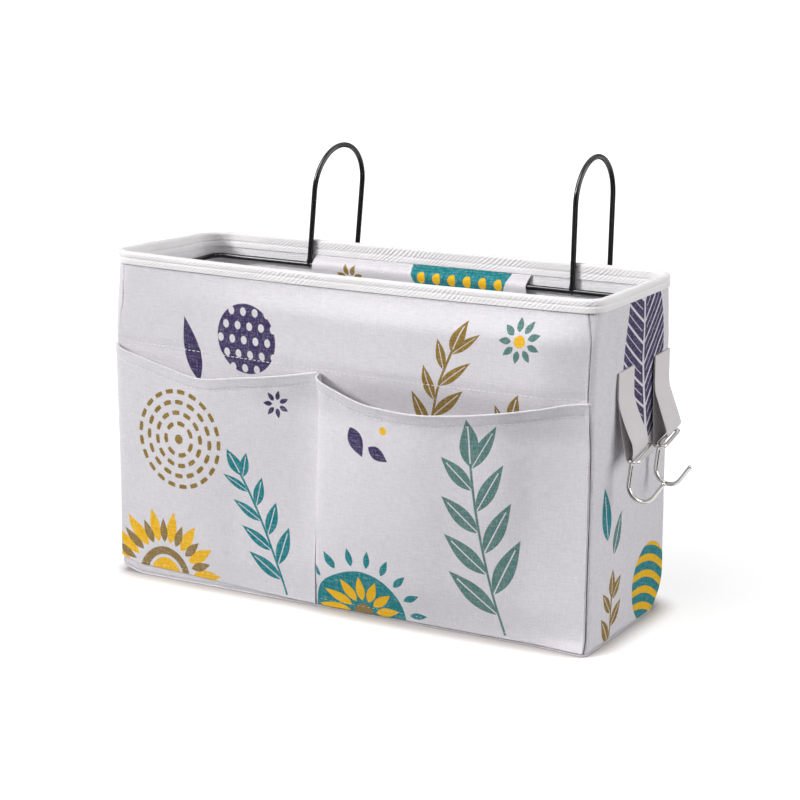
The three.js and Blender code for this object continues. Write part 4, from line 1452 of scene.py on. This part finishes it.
def floor_material():
    """Pale floor, white to the camera beyond the shadow round the bag, that ends in a dark studio; next to
    the bag the shadow is partly painted, its lift lower and warmer by ambient occlusion.
    """
    material, tree = new_material("pale_floor")
    add = tree.nodes.new
    camera_ray, clear_ray, glossy_ray = rays(tree)
    seen = most(camera_ray, most(glossy_ray, clear_ray))
    nearness = add("ShaderNodeAmbientOcclusion")
    nearness.samples = 12
    nearness.inputs["Distance"].default_value = CONTACT_REACH
    open_air = clamped((Field(nearness.outputs["AO"]) - 0.5) / 0.42)
    # Painted contact shadow: the floor's colour and lift turn darker and warmer close to the bag
    painted_shadow_colour = tuple(FLOOR_SEEN * c for c in PAINTED_SHADOW_TINT) + (1.0,)
    shown = coloured(painted_shadow_colour, grey(FLOOR_SEEN), open_air)
    diffuse = add("ShaderNodeBsdfDiffuse")
    feed(diffuse.inputs["Color"], coloured(grey(FLOOR_BOUNCE), shown, seen))
    lift = add("ShaderNodeEmission")
    feed(lift.inputs["Strength"], seen * (open_air * (FLOOR_LIFT - CONTACT_LIFT) + CONTACT_LIFT))
    feed(lift.inputs["Color"], coloured((*PAINTED_SHADOW_TINT, 1.0), grey(1.0), open_air))
    pale = add("ShaderNodeAddShader")
    dark = add("ShaderNodeBsdfDiffuse")
    dark.inputs["Color"].default_value = grey(0.01)
    x, y, _ = object_place(tree, 1.0)
    far = clamped((distance_of(x, y) - STUDIO_REACH) / 0.08)
    both = add("ShaderNodeMixShader")
    feed(both.inputs[0], glossy_ray * far * (dark_panels(x, y) * 0.7 + 0.27))
    output = add("ShaderNodeOutputMaterial")
    for source, socket in ((diffuse, pale.inputs[0]), (lift, pale.inputs[1]), (pale, both.inputs[1]),
                           (dark, both.inputs[2]), (both, output.inputs["Surface"])):
        feed(socket, Field(source.outputs[0]))
    return material


floor_corners = [(-FLOOR_SIZE, -FLOOR_SIZE, 0), (FLOOR_SIZE, -FLOOR_SIZE, 0),
                 (FLOOR_SIZE, FLOOR_SIZE, 0), (-FLOOR_SIZE, FLOOR_SIZE, 0)]
floor = mesh_object("floor", floor_corners, [[0, 1, 2, 3]])
floor.location.z = -FLOOR_DROP * MM
floor.data.materials.append(floor_material())


def studio_world():
    """White for the camera, plain and softer for the object, with dark walls in its reflections."""
    world = bpy.data.worlds.new("studio")
    bpy.context.scene.world = world
    world.use_nodes = True
    tree = world.node_tree
    tree.nodes.clear()
    camera_ray, clear_ray, glossy_ray = rays(tree)
    seen = most(camera_ray, clear_ray)
    coordinate = tree.nodes.new("ShaderNodeTexCoord")
    x, y, z = parts_of(tree, coordinate.outputs["Generated"])
    low_wall = clamped((0.55 - z) / 0.12)
    facing = x * SOFTBOX.x + y * SOFTBOX.y + z * SOFTBOX.z
    softbox = clamped((facing - SOFTBOX_EDGE) * 30.0)
    reflected = 1.0 - low_wall * (dark_panels(x, y) * 0.6 + 0.37) + softbox * SOFTBOX_LEVEL
    plain = glossy_ray * (reflected - AMBIENT) + AMBIENT
    background = tree.nodes.new("ShaderNodeBackground")
    background.inputs["Color"].default_value = grey(1.0)
    feed(background.inputs["Strength"], seen * (1.0 - plain) + plain)
    output = tree.nodes.new("ShaderNodeOutputWorld")
    feed(output.inputs["Surface"], Field(background.outputs[0]))


studio_world()


def sun(name, towards, strength, angle):
    """A soft sun that shines along a direction."""
    data = bpy.data.lights.new(name, "SUN")
    data.energy = strength
    data.angle = math.radians(angle)
    lamp = linked(bpy.data.objects.new(name, data))
    lamp.rotation_euler = Vector(towards).to_track_quat("-Z", "Y").to_euler()


sun("key", (0.626, 0.646, -0.438), 2.5, 14)
sun("fill", (-0.93, -0.28, -0.24), 2.3, 50)
sun("top", (0.25, 0.50, -0.83), 1.4, 42)

CAMERA_AZIMUTH = math.radians(29.44)
CAMERA_ELEVATION = math.radians(13.72)
camera_data = bpy.data.cameras.new("camera")
camera_data.sensor_width = 36
camera_data.lens = 102.915
camera_data.clip_start = 0.05
camera_data.clip_end = 50
camera = linked(bpy.data.objects.new("camera", camera_data))
camera.location = (0.662, -1.156, 0.442)
heading = Vector((
    -math.sin(CAMERA_AZIMUTH) * math.cos(CAMERA_ELEVATION),
    math.cos(CAMERA_AZIMUTH) * math.cos(CAMERA_ELEVATION),
    -math.sin(CAMERA_ELEVATION),
))
camera.rotation_euler = heading.to_track_quat("-Z", "Y").to_euler()
bpy.context.scene.camera = camera
bpy.context.scene.view_settings.view_transform = "Standard"

bpy.context.view_layer.update()
